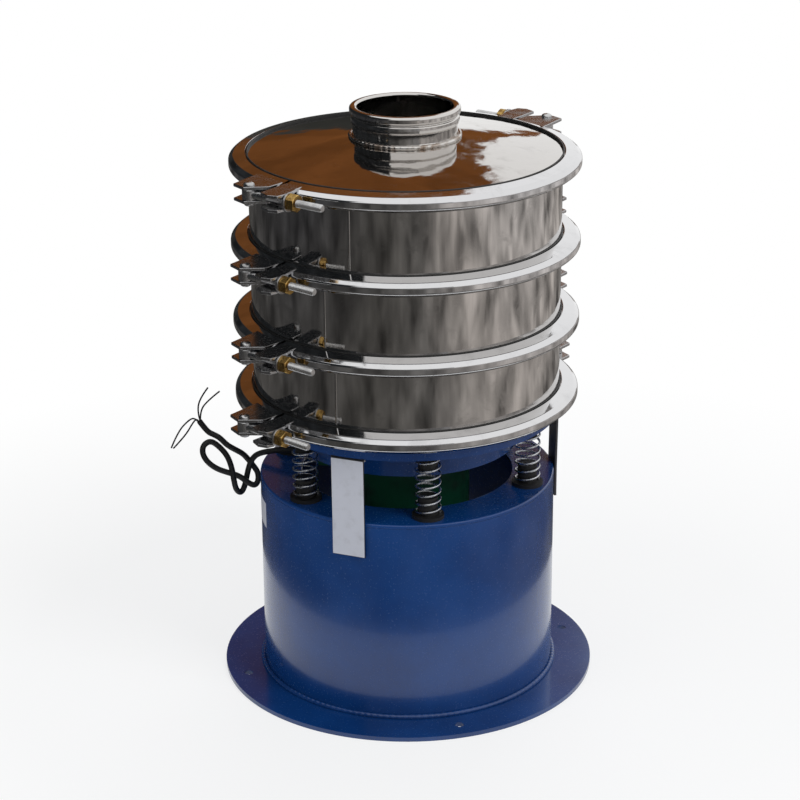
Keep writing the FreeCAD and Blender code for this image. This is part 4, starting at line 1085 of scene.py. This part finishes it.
def add_flags():
    flag("flag_ground", *ground_ring(0.45, 6.0, 0.004),
         [(0.0, (0.035, 0.036, 0.04)), (0.40, (0.075, 0.072, 0.068)), (0.56, (0.13, 0.125, 0.12)),
          (0.74, (0.42, 0.39, 0.37)), (1.0, (0.50, 0.48, 0.47))], 0.75, 2.6)
    flag("flag_left", *arc_wall(4.6, -178, -34, 0.0, 6.5),
         [(0.0, (0.02, 0.022, 0.024)), (0.45, (0.035, 0.035, 0.032)), (1.0, (0.06, 0.055, 0.05))], 0.5, 0.9)
    flag("flag_back", *arc_wall(4.4, 172, 200, 1.2, 4.6),
         [(0.0, (0.13, 0.05, 0.016)), (0.55, (0.17, 0.062, 0.018)), (1.0, (0.12, 0.06, 0.03))], 0.25, 1.4)
    flag("flag_front", *arc_wall(5.0, -34, 30, 0.0, 2.4),
         [(0.0, (0.06, 0.06, 0.062)), (0.5, (0.16, 0.155, 0.15)), (1.0, (0.30, 0.30, 0.31))], 0.5, 0.8)
    flag("flag_right", *arc_wall(5.0, 30, 150, 0.0, 1.0),
         [(0.0, (0.2, 0.2, 0.2)), (0.6, (0.22, 0.21, 0.20)), (1.0, (0.40, 0.38, 0.37))], 0.6, 0.8)


LIGHT_AIM = Vector((0, 0, 0.45))


def add_light(name, place, size, power):
    light = bpy.data.lights.new(name, "AREA")
    light.energy, light.size = power, size
    lamp = linked(name, light)
    lamp.location = place
    lamp.visible_glossy = False
    aim = LIGHT_AIM - Vector(place)
    lamp.rotation_euler = aim.to_track_quat("-Z", "Y").to_euler()


def add_world():
    """White behind the object and in its gloss, and a soft cool light on everything else."""
    world = bpy.data.worlds.new("studio")
    bpy.context.scene.world = world
    tree = node_tree(world)
    output, path = tree.nodes.new("ShaderNodeOutputWorld"), tree.nodes.new("ShaderNodeLightPath")
    white, soft = tree.nodes.new("ShaderNodeBackground"), tree.nodes.new("ShaderNodeBackground")
    white.inputs[0].default_value, white.inputs[1].default_value = (1, 1, 1, 1), 1.0
    soft.inputs[0].default_value, soft.inputs[1].default_value = (0.92, 0.96, 1.0, 1), 0.45
    seen, clear = tree.nodes.new("ShaderNodeMath"), tree.nodes.new("ShaderNodeMath")
    for add, first, second in ((seen, "Is Camera Ray", "Is Glossy Ray"), (clear, None, "Is Transmission Ray")):
        add.operation, add.use_clamp = "ADD", True
        tree.links.new(path.outputs[first] if first else seen.outputs[0], add.inputs[0])
        tree.links.new(path.outputs[second], add.inputs[1])
    mix = tree.nodes.new("ShaderNodeMixShader")
    tree.links.new(clear.outputs[0], mix.inputs[0])
    tree.links.new(soft.outputs[0], mix.inputs[1])
    tree.links.new(white.outputs[0], mix.inputs[2])
    tree.links.new(mix.outputs[0], output.inputs["Surface"])


dress_base()
dress_chassis()
dress_springs()
dress_frames()
dress_seams()
dress_lid()
dress_closures()
dress_motor()
dress_straps()
drum_sticker()

add_stage()
add_flags()
add_world()
add_light("key", (2.6, -2.4, 3.4), 1.8, 75)
add_light("fill", (-2.8, -1.8, 2.2), 2.2, 22)
add_light("back", (0.5, 2.8, 2.6), 2.0, 30)
bpy.context.scene.view_settings.view_transform = "Standard"
